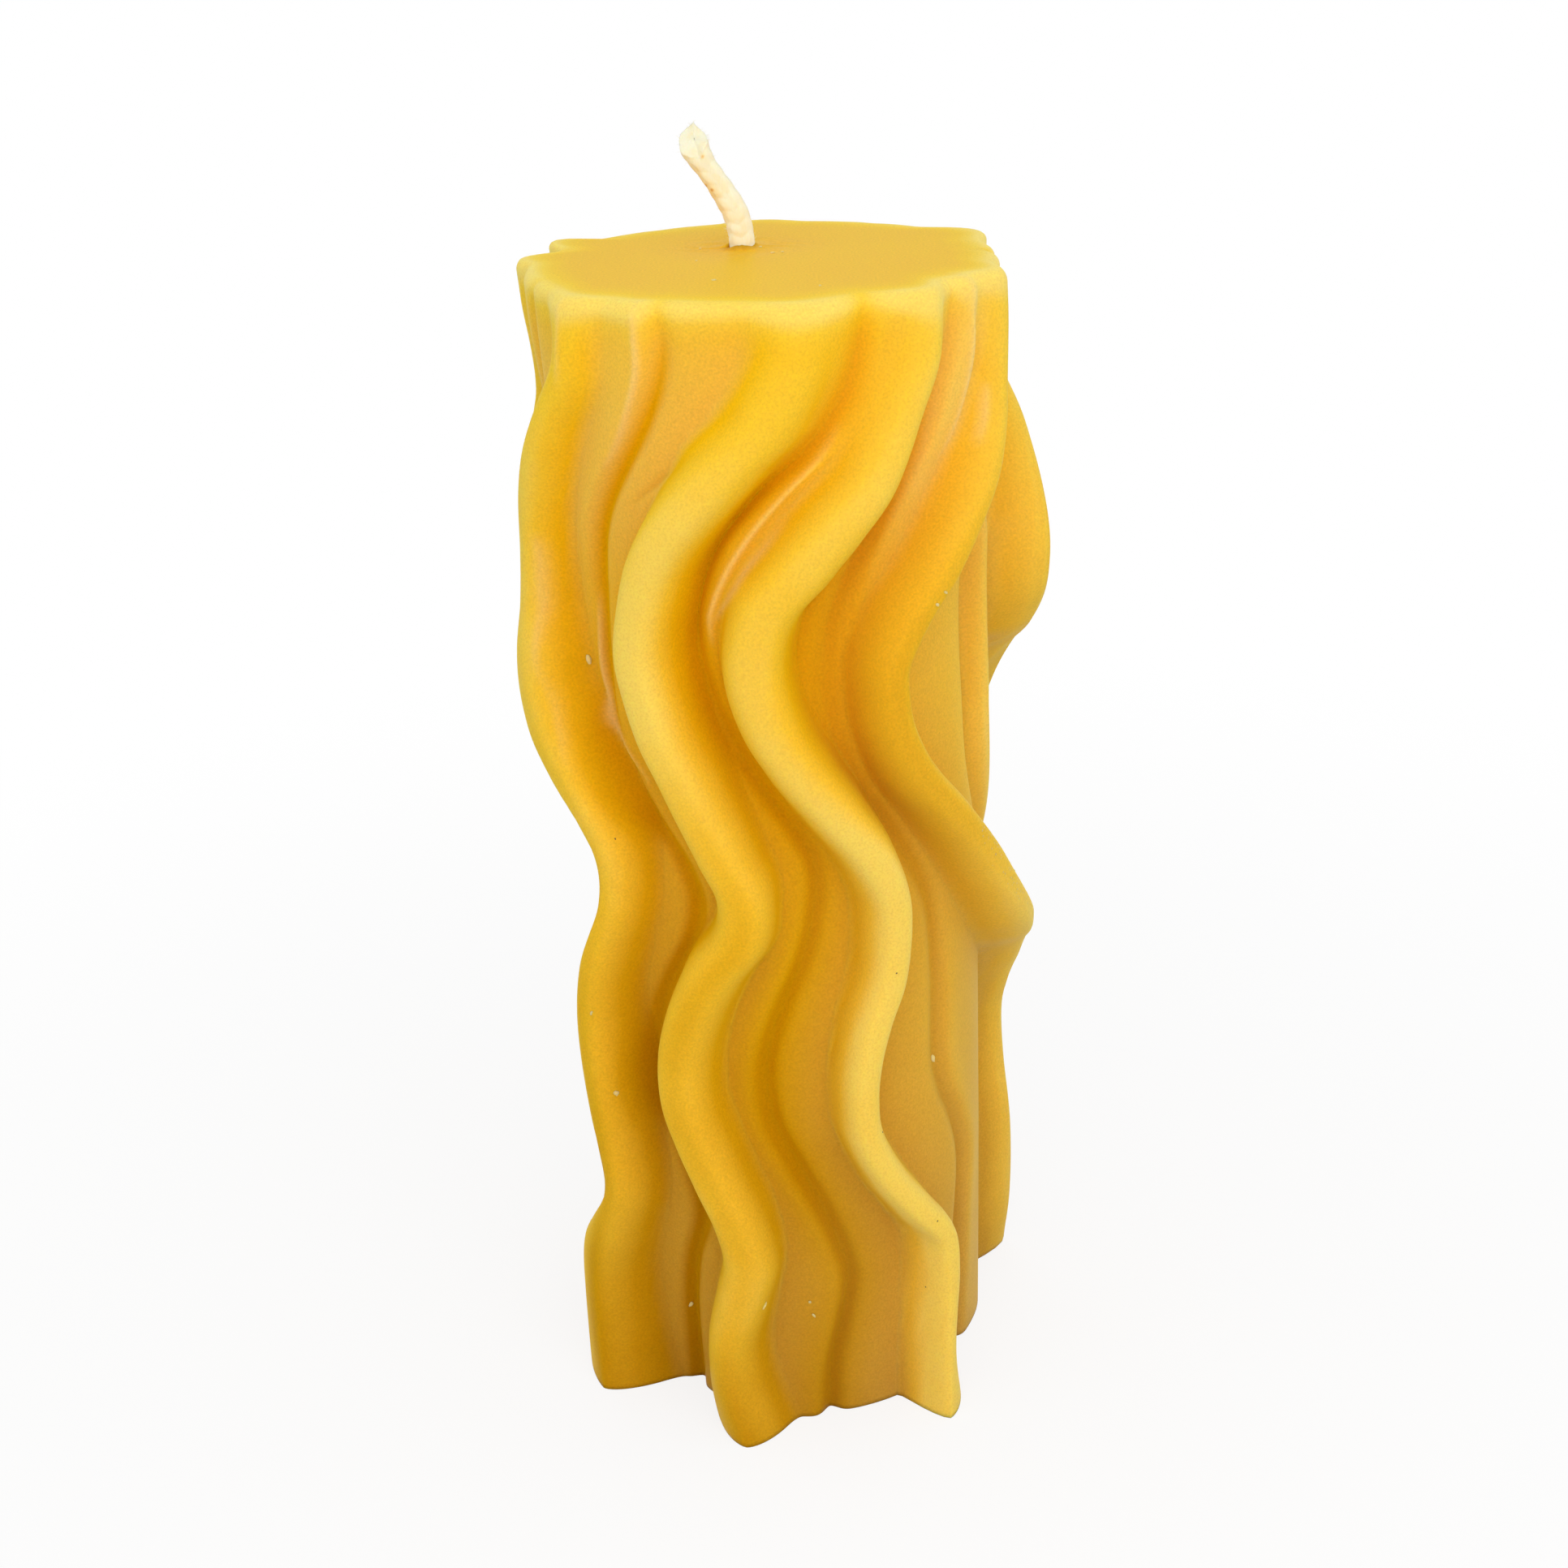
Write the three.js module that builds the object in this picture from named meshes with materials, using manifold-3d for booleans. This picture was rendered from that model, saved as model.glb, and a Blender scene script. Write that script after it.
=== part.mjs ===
import * as THREE from "three";
import { mergeVertices } from "three/addons/utils/BufferGeometryUtils.js";
import Module from "manifold-3d";

// A pillar candle: one casting of beeswax with wavy fins down its sides, and a braided cotton wick.
// Millimetres, with Z up from the base. The front is -Y, and +X is on the right of a front view.

const candleHeight = 150;
const coreRadius = 25.7; // floor of the valleys between the fins
const rimRadius = 28.6; // the same floor at the top edge, where the fins fade out
const finStand = 8; // from a valley's floor to the crest of a full fin
const filletRadius = 2.4; // where a fin meets the floor
const creaseWidth = 1.4; // half width of the fine crease along each valley
const lipWidth = 2.4; // from a crease to the low ridge beside it
const lipSteepness = 1.5; // how fast that ridge rises from the crease and falls beyond
const hollowWidth = 7; // half width of the broad dip that some valleys have
const frontRounding = 2; // of the top edge, at the front
const backRounding = 0.8; // and at the back
const dishRadius = 11; // shallow dip in the top round the wick
const dishDepth = 0.8;

const wickSide = 3.3; // square braid, measured across the flats
const wickSquareness = 4; // of its section: 2 would make it round
const wickAside = -2.6; // the wick stands a little off the middle of the candle
const wickBack = 9;
const wickFreeLength = 16.5; // above the wax
const wickTurnHeight = candleHeight - dishDepth; // where it starts to lean
const wickClearance = 0.3; // between the wick and its hole in the wax
const baseClearance = 0.3; // the wick's lower end is cut just short of the base

// The free wick leans to the left and back, and curls over a little at its tip. Shares of
// its length: aside, back, up.
const wickLean = [
  [0, 0, 0], [-0.06, 0, 0.16], [-0.19, 0.02, 0.35], [-0.34, 0.04, 0.54],
  [-0.45, 0.05, 0.73], [-0.53, 0.06, 0.88],
];

// Fineness of the surfaces. The columns of a fin's side stand at these shares of its flank
// out from the crest, all within this much of the way to the crease. Two more stand beyond.
const flankColumns = [0, 0.45, 0.75, 0.95, 1.15];
const flankLimit = 0.85;
const sideRows = 46;
const rimRows = 3;
const topRingShares = [0.75, 0.5, 0.25]; // of the way from the wick to the edge
const wickSides = 12;

// Every line on the sides is a list of bends from the base up: [height, angle].
// Heights are in percent of the candle's height. Angles are in degrees round the
// axis, 0 at the front and growing to the right. rise is the share of finStand that
// the crest has at a height, and the flanks are the fin's width in millimetres from
// crest to foot on each side, square to its line.
const leftFin = {
  crest: [
    [0, -56.5], [4, -57], [9, -57.5], [13.5, -56.5], [18, -52.5], [23, -48], [28, -49.5],
    [35, -52.5], [39, -53], [43, -51.5], [47, -48], [50.5, -44.5], [54.5, -44], [58, -48.5],
    [61, -56], [64, -64.5], [67.5, -71], [71, -72], [75, -72], [80, -70], [84, -66], [90, -57],
    [94.5, -49], [100, -48],
  ],
  rise: [
    [0, 0.95], [44, 0.95], [52, 0.85], [60, 0.95], [64, 1], [70, 0.97], [74, 0.86], [79, 0.79],
    [84, 0.77], [88, 0.7], [92, 0.52], [100, 0.19],
  ],
  leftFlank: [
    [0, 21], [9, 13], [15, 8.5], [22, 2.4], [30, 4.2], [38, 4.2], [44, 3.3], [50, 2.2], [56, 3],
    [61, 6], [67, 7.5], [72, 5], [78, 4.2], [100, 5],
  ],
  rightFlank: [[0, 4.5], [10, 4], [58, 4], [62, 4.7], [66, 6.3], [70, 6], [75, 4.2], [100, 4]],
};
const frontFin = {
  crest: [
    [0, -14], [5, -17.5], [9.5, -18], [14, -15], [18, -12.5], [22, -14.5], [26, -19],
    [30, -23.5], [33.5, -26.5], [37.5, -26.5], [41.5, -23.5], [45.5, -18], [49.5, -10.5],
    [53, -9.5], [56.5, -13.5], [60, -18], [63.5, -22.5], [66.5, -26.5], [70, -29.5], [73, -31],
    [76.5, -29.5], [80, -26.5], [83.5, -20.5], [88, -10], [91.5, -1], [95.5, 5], [100, 7],
  ],
  rise: [[0, 0.93], [40, 0.95], [83, 0.95], [92, 0.6], [100, 0.2]],
  leftFlank: [[0, 7], [9, 5], [18, 4.7], [80, 4.7], [92, 5.2], [100, 5]],
  rightFlank: [[0, 6], [9, 4.5], [18, 4.3], [80, 4.3], [92, 5.5], [100, 6]],
};
const frontRightFin = {
  crest: [
    [0, 35], [7, 35.5], [11, 36], [15, 36.5], [18.5, 35.5], [22, 29], [25.5, 22.5], [30, 17],
    [34, 16], [37.5, 17], [41, 19.5], [44.5, 23], [48.5, 24.5], [52, 24], [56, 19.5], [60, 12],
    [63.5, 5], [67, -1], [70.5, -4.5], [73.5, -5], [77, -2], [80, 5], [82.5, 11.5],
    [86.5, 21.5], [91.5, 30], [95.5, 36], [100, 38],
  ],
  rise: [[0, 1.02], [40, 0.95], [83, 0.93], [92, 0.6], [100, 0.25]],
  leftFlank: [[0, 2.5], [15, 2.4], [30, 2.9], [50, 3.5], [62, 4.5], [100, 4.8]],
  rightFlank: [[0, 8.5], [6, 5], [12, 4], [30, 3.2], [50, 3.5], [62, 4.5], [79, 5], [100, 3.5]],
};
const rightFin = {
  crest: [
    [0, 115], [6.5, 112], [14.5, 112.5], [21.5, 116], [27, 116.5], [31, 112.5], [34, 107.5],
    [38, 98], [41.5, 84], [44.5, 73], [48.5, 62], [53.5, 51], [58, 41], [62, 32], [66, 26.5],
    [69.5, 25], [72, 25.5], [75.5, 31], [78.5, 38.5], [82.5, 47], [86.5, 55], [90.5, 61],
    [95.5, 64], [100, 66],
  ],
  rise: [[0, 1.05], [34, 0.97], [39, 0.92], [46, 0.96], [83, 0.88], [92, 0.5], [100, 0.26]],
  leftFlank: [[0, 4.2], [34, 4.2], [44, 3.6], [80, 3.6], [100, 4]],
  rightFlank: [[0, 5], [44, 3.6], [80, 3.6], [100, 4]],
};
const rightBackFin = {
  crest: [
    [0, 148], [6.5, 145], [13.5, 141], [20, 143], [26.5, 147], [33, 146], [40, 140],
    [46.5, 133], [54.5, 127.5], [61, 119.5], [65, 111], [69, 97.5], [73, 88.5], [77, 87],
    [81.5, 93], [86.5, 103], [90.5, 113], [94.5, 119], [100, 120],
  ],
  rise: [[0, 1], [65, 1], [76, 1.14], [85, 0.8], [92, 0.38], [100, 0.43]],
  leftFlank: [[0, 4.2], [80, 4.2], [100, 6.5]],
  rightFlank: [[0, 4.2], [80, 4.2], [100, 6.5]],
};
const backFin = {
  crest: [
    [0, 177], [12, 181], [20, 182], [28, 175], [36, 172], [44, 178], [52, 184], [60, 180],
    [68, 170], [76, 164], [84, 168], [92, 176], [100, 180],
  ],
  rise: [[0, 1], [83, 1], [92, 0.6], [100, 0.25]],
  leftFlank: [[0, 4.2], [80, 4.2], [100, 5]],
  rightFlank: [[0, 4.2], [80, 4.2], [100, 5]],
};
const backLeftFin = {
  crest: [
    [0, 200], [12, 203], [20, 210], [28, 208], [36, 202], [44, 204], [52, 215], [60, 223],
    [68, 217], [76, 212], [84, 219], [92, 229], [100, 232.5],
  ],
  rise: [[0, 1], [83, 1], [92, 0.65], [100, 0.62]],
  leftFlank: [[0, 4.2], [80, 4.2], [100, 3]],
  rightFlank: [[0, 4.2], [80, 4.2], [100, 5]],
};
const leftBackFin = {
  crest: [
    [0, 230], [6.5, 229], [13.5, 233], [20, 238], [26.5, 238], [33, 233], [40, 230], [46, 233],
    [52.5, 242], [58.5, 250], [64, 252], [69, 247], [76, 241], [82.5, 243], [88, 251],
    [93.5, 258], [100, 256],
  ],
  rise: [[0, 1], [83, 0.9], [89, 0.4], [93, 0.22], [97, 0.26], [100, 0.32]],
  leftFlank: [[0, 4.2], [80, 4.2], [100, 4]],
  rightFlank: [[0, 4.2], [80, 4.2], [100, 4]],
};

// A crease runs down each valley. lip is the low ridge beside it, in millimetres:
// positive on its right, negative on its left. hollow is a broad dip under it.
const leftValley = {
  line: [
    [0, -40], [4, -39.5], [8, -39], [11, -38], [15, -35.3], [19, -30.5], [22, -30.5],
    [26.5, -35], [30.5, -41], [34.5, -43.5], [39.5, -41], [43.5, -34.5], [47, -28],
    [50.5, -25.5], [54, -29.5], [57.5, -38], [61, -46], [65.5, -53], [70, -54.5], [75, -54],
    [80, -52], [83, -48], [86, -41.5], [88.6, -35.4], [91.3, -30], [94, -26], [97, -24],
    [100, -25],
  ],
  depth: [[0, 1.6], [50, 1.2], [80, 1], [95, 1], [100, 0.3]],
  lip: [[0, 0], [72, 0], [80, -0.8], [90, -1.4], [100, -0.8]],
  hollow: [[0, 2.5], [12, 1.2], [25, 0], [100, 0]],
};
const frontValley = {
  line: [
    [0, 7.8], [5, 9], [9.5, 12.3], [13.8, 14.9], [17, 12.8], [21.3, 7.6], [25.6, 0.9],
    [30, -5.9], [34, -7.8], [37.4, -6.5], [41.5, -1.9], [45.8, 4.3], [50, 7.9], [54, 8.5],
    [57, 4], [60, -3], [65, -13], [70, -20], [75, -21.5], [79, -18], [82, -13], [84, -7.5],
    [86, -1], [88, 7], [90, 13], [92.5, 18], [96, 21.5], [100, 23.3],
  ],
  depth: [[0, 1.3], [55, 1.2], [80, 1], [95, 1], [100, 0.3]],
  lip: [[0, -0.6], [50, -0.6], [58, 0], [70, 0], [75, 1.2], [83, 1.8], [92, 1.3], [100, 0.4]],
  hollow: [[0, 0], [100, 0]],
};
const frontRightValley = {
  line: [
    [0, 63], [8.7, 61.8], [14, 61.3], [19.3, 62], [22, 61], [26, 56], [29.4, 50.4], [33, 47.3],
    [41, 47.3], [48, 45], [52, 39], [56, 30.5], [60, 22], [64.5, 15], [69, 12.5], [73, 13],
    [77, 17], [81, 24], [85, 32], [88.5, 39], [92, 44], [95.5, 47.8], [100, 49.5],
  ],
  depth: [[0, 1], [50, 0.9], [80, 1], [95, 0.9], [100, 0.3]],
  lip: [[0, 0.6], [40, 0.5], [50, 0], [70, 0], [80, 1], [92, 1.2], [100, 0.6]],
  hollow: [[0, 2], [12, 0.8], [25, 0], [100, 0]],
};
const rightValley = {
  line: [
    [0, 131], [10, 129], [20, 131], [27, 132], [32, 128], [37, 118], [42, 105], [48, 90],
    [54, 77], [59, 70], [65, 67], [71, 65], [77, 66.5], [82, 72], [87, 81], [93, 89], [100, 91],
  ],
  depth: [[0, 1], [55, 0.8], [80, 0.8], [95, 0.8], [100, 0.9]],
  lip: [[0, 0], [42, 0], [50, 1], [60, 2], [77, 1.8], [83, 0.5], [100, 0]],
  hollow: [[0, 0], [100, 0]],
};
const rightBackValley = {
  line: [
    [0, 162], [12, 160], [20, 162], [28, 163], [36, 160], [44, 158], [52, 157], [61, 146],
    [69, 130], [76, 122], [84, 133], [92, 145], [100, 148],
  ],
  depth: [[0, 1.2], [93, 1], [100, 0.3]],
  lip: [[0, 0], [100, 0]],
  hollow: [[0, 0], [100, 0]],
};
const backValley = {
  line: [
    [0, 188], [12, 192], [20, 196], [28, 191], [36, 187], [44, 191], [52, 200], [60, 202],
    [68, 193], [76, 187], [84, 193], [92, 204], [100, 208],
  ],
  depth: [[0, 0.8], [93, 0.8], [100, 0.3]],
  lip: [[0, 0], [100, 0]],
  hollow: [[0, 0], [100, 0]],
};
const backLeftValley = {
  line: [
    [0, 215], [12, 218], [20, 224], [28, 222], [36, 216], [44, 218], [52, 229], [60, 237],
    [68, 232], [76, 227], [84, 232], [92, 245], [100, 247],
  ],
  depth: [[0, 0.8], [93, 0.8], [100, 0.3]],
  lip: [[0, 0], [100, 0]],
  hollow: [[0, 0], [100, 0]],
};
const leftBackValley = {
  line: [
    [0, 266], [12, 272], [20, 277], [28, 270], [36, 264], [44, 270], [52, 281], [60, 279],
    [68, 271], [76, 264], [84, 270], [92, 282], [100, 288],
  ],
  depth: [[0, 1.2], [93, 1.2], [100, 0.3]],
  lip: [[0, 0], [100, 0]],
  hollow: [[0, 0], [38, 0], [47, 1.2], [56, 0], [100, 0]],
};

const fins = [
  leftFin, frontFin, frontRightFin, rightFin, rightBackFin, backFin, backLeftFin, leftBackFin,
];
const valleys = [
  leftValley, frontValley, frontRightValley, rightValley,
  rightBackValley, backValley, backLeftValley, leftBackValley,
];

// Share of the way that the floor has come from the core radius to the rim radius.
const shoulder = [[0, 0], [73, 0], [83, 0.17], [90, 0.52], [95.5, 0.86], [100, 1]];

// How full a fin is between its crest and its feet, from a slack fold to a steep wall with
// a round top.
const fullness = [[0, 1.5], [8, 2], [18, 3], [80, 3], [92, 2.2], [100, 2]];

const fullTurn = 360;

// The value that a list of bends has at a height, on a smooth curve through them.
function bendAt(bends, height) {
  const last = bends.length - 1;
  if (height <= bends[0][0]) return bends[0][1];
  if (height >= bends[last][0]) return bends[last][1];
  let i = 0;
  while (bends[i + 1][0] <= height) i++;
  const slope = (k) => {
    const before = bends[Math.max(k - 1, 0)];
    const after = bends[Math.min(k + 1, last)];
    return (after[1] - before[1]) / (after[0] - before[0]);
  };
  const span = bends[i + 1][0] - bends[i][0];
  const t = (height - bends[i][0]) / span;
  return (
    (2 * t ** 3 - 3 * t ** 2 + 1) * bends[i][1] +
    (t ** 3 - 2 * t ** 2 + t) * span * slope(i) +
    (3 * t ** 2 - 2 * t ** 3) * bends[i + 1][1] +
    (t ** 3 - t ** 2) * span * slope(i + 1)
  );
}

// The larger of two radii, with a fillet where they cross.
function blendOut(a, b, fillet) {
  const near = Math.max(fillet - Math.abs(a - b), 0) / fillet;
  return Math.max(a, b) + (near * near * fillet) / 4;
}

// Distance along the surface from a line at one angle to a point at another.
function alongSurface(angle, lineAngle, radius) {
  const halfTurn = fullTurn / 2;
  const turn = THREE.MathUtils.euclideanModulo(angle - lineAngle + halfTurn, fullTurn) - halfTurn;
  return THREE.MathUtils.degToRad(turn) * radius;
}

function coreAt(height) {
  return coreRadius + (rimRadius - coreRadius) * bendAt(shoulder, height);
}

// What one valley takes from the floor, or its lip adds to it.
function valleyRelief(valley, angle, height) {
  const across = alongSurface(angle, bendAt(valley.line, height), coreRadius);
  const lip = bendAt(valley.lip, height);
  const beside = Math.max(across * Math.sign(lip), 0) / lipWidth;
  return (
    Math.abs(lip) * (beside * Math.exp(1 - beside)) ** lipSteepness -
    bendAt(valley.depth, height) * Math.exp(-((across / creaseWidth) ** 2)) -
    bendAt(valley.hollow, height) * Math.exp(-((across / hollowWidth) ** 2))
  );
}

// How much wider a fin is, measured level, than square to its slanting line.
function lengthening(line, height) {
  const reach = 0.5; // percent of the height, up and down, over which the slant is taken
  const turn = bendAt(line, height + reach) - bendAt(line, height - reach);
  const aside = THREE.MathUtils.degToRad(turn) * (coreRadius + finStand / 2);
  return Math.hypot(1, aside / ((2 * reach * candleHeight) / 100));
}

// The radius that one fin alone would give.
function finRadius(fin, angle, height, core) {
  const stand = finStand * bendAt(fin.rise, height);
  const across = alongSurface(angle, bendAt(fin.crest, height), core + finStand / 2);
  const flank = bendAt(across < 0 ? fin.leftFlank : fin.rightFlank, height);
  const share = Math.abs(across) / (flank * lengthening(fin.crest, height));
  return core + stand * (1 - share ** bendAt(fullness, height));
}

// Radius of the candle's side at an angle in degrees and a height in percent.
function sideRadius(angle, height) {
  const core = coreAt(height);
  let radius = core;
  for (const valley of valleys) radius += valleyRelief(valley, angle, height);
  for (const fin of fins) {
    radius = blendOut(radius, finRadius(fin, angle, height, core), filletRadius);
  }
  return radius;
}

// How far the rounded top edge is in from the side at a height in millimetres.
function rimInset(angle, z) {
  const front = (1 + Math.cos(THREE.MathUtils.degToRad(angle))) / 2;
  const radius = THREE.MathUtils.lerp(backRounding, frontRounding, front);
  const up = Math.max(z - (candleHeight - radius), 0);
  return radius - Math.sqrt(Math.max(radius ** 2 - up ** 2, 0));
}

// Angles of the columns on one side of a fin at a height, from its crest out to the lip of
// the crease beside it.
function flankAngles(fin, flank, crease, height) {
  const crest = bendAt(fin.crest, height);
  const turn = crease - crest;
  const wide = bendAt(flank, height) * lengthening(fin.crest, height);
  const outermost = flankColumns[flankColumns.length - 1];
  const foot = Math.min(
    THREE.MathUtils.radToDeg(wide / (coreRadius + finStand / 2)),
    (Math.abs(turn) * flankLimit) / outermost,
  );
  const angles = flankColumns.map((share) => crest + Math.sign(turn) * share * foot);
  const last = angles[angles.length - 1];
  const lip = THREE.MathUtils.radToDeg(lipWidth / coreRadius);
  const beside = crease - Math.sign(turn) * Math.min(lip, Math.abs(crease - last) / 2);
  angles.push((last + beside) / 2, beside);
  return angles;
}

// Angles of all the columns at a height. Every crest and every crease has one.
function columnAngles(height) {
  const angles = [];
  fins.forEach((fin, i) => {
    const creaseBefore =
      i === 0
        ? bendAt(valleys[valleys.length - 1].line, height) - fullTurn
        : bendAt(valleys[i - 1].line, height);
    const creaseAfter = bendAt(valleys[i].line, height);
    const [crest, ...left] = flankAngles(fin, fin.leftFlank, creaseBefore, height);
    const [, ...right] = flankAngles(fin, fin.rightFlank, creaseAfter, height);
    angles.push(creaseBefore, ...left.reverse(), crest, ...right);
  });
  return angles;
}

function surfacePoint(angle, radius, z) {
  const a = THREE.MathUtils.degToRad(angle);
  return new THREE.Vector3(radius * Math.sin(a), -radius * Math.cos(a), z);
}

// A closed body from rings of equally many points, all turning the same way
// seen from above, from the lowest ring to the last one, with a point closing each end.
function closedLoft(rings, firstPoint, lastPoint) {
  const count = rings[0].length;
  const points = [firstPoint, ...rings.flat(), lastPoint];
  const corner = (ring, i) => 1 + ring * count + (i % count);
  const index = [];
  for (let i = 0; i < count; i++) {
    index.push(0, corner(0, i + 1), corner(0, i));
    for (let ring = 0; ring < rings.length - 1; ring++) {
      const a = corner(ring, i);
      const b = corner(ring, i + 1);
      const c = corner(ring + 1, i + 1);
      const d = corner(ring + 1, i);
      index.push(a, b, c, a, c, d);
    }
    index.push(points.length - 1, corner(rings.length - 1, i), corner(rings.length - 1, i + 1));
  }
  const geometry = new THREE.BufferGeometry().setFromPoints(points);
  geometry.setIndex(index);
  geometry.computeVertexNormals();
  return geometry;
}

// How far the top face dips at a point, from the distance to the wick.
function dishAt(x, y) {
  const away = Math.hypot(x - wickAside, y - wickBack) / dishRadius;
  return dishDepth * Math.exp(-2 * away * away);
}

// The outer form of the wax, without the hole for the wick.
function waxForm() {
  const sideHeight = candleHeight - frontRounding;
  const levels = [];
  for (let row = 0; row <= sideRows; row++) levels.push((sideHeight * row) / sideRows);
  for (let row = 1; row <= rimRows; row++) {
    levels.push(sideHeight + frontRounding * Math.sin((Math.PI / 2) * (row / rimRows)));
  }
  const rings = levels.map((z) => {
    const height = (100 * z) / candleHeight;
    return columnAngles(height).map((a) =>
      surfacePoint(a, sideRadius(a, height) - rimInset(a, z), z),
    );
  });
  // The top face: rings drawn in from the edge towards the wick.
  const edge = rings[rings.length - 1];
  const wick = new THREE.Vector3(wickAside, wickBack, candleHeight);
  for (const share of topRingShares) {
    rings.push(
      edge.map((p) => {
        const q = wick.clone().lerp(p, share);
        q.z = candleHeight - dishAt(q.x, q.y);
        return q;
      }),
    );
  }
  const underWick = new THREE.Vector3(wickAside, wickBack, 0);
  wick.z -= dishDepth;
  return closedLoft(rings, underWick, wick);
}

// The wick's middle line, from its lower end to its tip.
function wickLine() {
  const points = [
    new THREE.Vector3(wickAside, wickBack, baseClearance),
    new THREE.Vector3(wickAside, wickBack, candleHeight / 2),
  ];
  for (const [aside, back, up] of wickLean) {
    points.push(
      new THREE.Vector3(
        wickAside + aside * wickFreeLength,
        wickBack + back * wickFreeLength,
        wickTurnHeight + up * wickFreeLength,
      ),
    );
  }
  return points;
}

// A square section with its corners rounded off, across the wick's line.
function wickRing(centre, along, side) {
  const across = new THREE.Vector3(0, 1, 0).cross(along).normalize();
  const through = along.clone().cross(across).normalize();
  const ring = [];
  for (let i = 0; i < wickSides; i++) {
    const a = (2 * Math.PI * (i + 0.5)) / wickSides;
    const c = Math.cos(a);
    const s = Math.sin(a);
    const flatness = Math.abs(c) ** wickSquareness + Math.abs(s) ** wickSquareness;
    const reach = side / 2 / flatness ** (1 / wickSquareness);
    ring.push(
      centre.clone().addScaledVector(across, reach * c).addScaledVector(through, reach * s),
    );
  }
  return ring;
}

function wickForm() {
  const line = wickLine();
  const rings = line.map((p, i) => {
    const along = line[Math.min(i + 1, line.length - 1)].clone();
    along.sub(line[Math.max(i - 1, 0)]).normalize();
    return wickRing(p, along, wickSide);
  });
  return closedLoft(rings, line[0], line[line.length - 1]);
}

// The hole for the wick goes right through the wax and past it at both ends.
function wickHole() {
  const up = new THREE.Vector3(0, 0, 1);
  const past = wickSide;
  const ends = [-past, candleHeight + past].map((z) => new THREE.Vector3(wickAside, wickBack, z));
  const side = wickSide + 2 * wickClearance;
  const rings = ends.map((p) => wickRing(p, up, side));
  return closedLoft(rings, ends[0], ends[1]);
}

const wasm = await Module();
wasm.setup();

function solid(geometry) {
  const bare = geometry.clone();
  bare.deleteAttribute("normal");
  bare.deleteAttribute("uv");
  const merged = mergeVertices(bare, 1e-4);
  return new wasm.Manifold(
    new wasm.Mesh({
      numProp: 3,
      vertProperties: merged.attributes.position.array,
      triVerts: new Uint32Array(merged.index.array),
    }),
  );
}

function geometryOf(body) {
  const mesh = body.getMesh();
  const geometry = new THREE.BufferGeometry();
  geometry.setAttribute("position", new THREE.BufferAttribute(mesh.vertProperties, 3));
  geometry.setIndex(new THREE.BufferAttribute(mesh.triVerts, 1));
  geometry.computeVertexNormals();
  return geometry;
}

const beeswax = new THREE.MeshStandardMaterial({ color: 0xe3ab26, roughness: 0.42, metalness: 0 });
const cotton = new THREE.MeshStandardMaterial({ color: 0xf3e6b8, roughness: 0.95, metalness: 0 });

const wax = new THREE.Mesh(geometryOf(solid(waxForm()).subtract(solid(wickHole()))), beeswax);
wax.name = "wax_body";
const wick = new THREE.Mesh(wickForm(), cotton);
wick.name = "wick";

const group = new THREE.Group();
group.add(wax, wick);

export default group;
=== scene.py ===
import math
import bmesh
import bpy
import numpy as np
from mathutils import Matrix, Vector


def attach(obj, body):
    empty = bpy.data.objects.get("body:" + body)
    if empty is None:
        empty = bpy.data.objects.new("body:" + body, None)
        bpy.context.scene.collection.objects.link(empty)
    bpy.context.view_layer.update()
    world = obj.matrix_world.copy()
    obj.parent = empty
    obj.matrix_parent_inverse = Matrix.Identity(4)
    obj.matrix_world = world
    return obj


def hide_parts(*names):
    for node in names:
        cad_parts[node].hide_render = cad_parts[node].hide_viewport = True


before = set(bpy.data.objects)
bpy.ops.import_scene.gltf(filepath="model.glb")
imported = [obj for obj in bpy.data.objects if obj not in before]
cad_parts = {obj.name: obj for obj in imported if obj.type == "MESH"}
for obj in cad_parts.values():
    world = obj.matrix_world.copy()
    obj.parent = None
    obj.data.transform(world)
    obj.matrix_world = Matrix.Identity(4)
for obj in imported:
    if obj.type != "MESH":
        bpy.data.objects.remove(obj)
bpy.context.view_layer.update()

# Camera. It stands in front of the candle, a little above its top, and looks down on it with a
# slight roll. Places are in metres from the middle of the base.
camera_place = Vector((0.0003, -0.276, 0.197))
camera_look_down = math.radians(22.7)
camera_roll = math.radians(2.2)
camera_lens = 52.17

camera = bpy.data.objects.new("camera", bpy.data.cameras.new("camera"))
camera.data.lens = camera_lens
camera.data.sensor_width = 36
camera.data.clip_start = 0.01
camera.matrix_world = (
    Matrix.Translation(camera_place)
    @ Matrix.Rotation(math.radians(90) - camera_look_down, 4, "X")
    @ Matrix.Rotation(-camera_roll, 4, "Z")
)
bpy.context.scene.collection.objects.link(camera)
bpy.context.scene.camera = camera

# Wax body. One casting of beeswax, poured into a soft mould round the wick. Eight wavy fins run
# down a round core, and a fine crease lies in each valley between two of them. The flat top
# with its rounded edge was the floor of the mould.
candle_height = 0.150
core_radius = 0.0257
rim_radius = 0.0286
fin_stand = 0.008
fillet_radius = 0.0024
crease_width = 0.0014
lip_width = 0.0024
lip_fall = 1.5
hollow_width = 0.007
front_rounding = 0.002
back_rounding = 0.0008
dish_radius = 0.011
dish_depth = 0.0002
wick_side = 0.0031
wick_aside = -0.0024
wick_back = 0.0093

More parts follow.
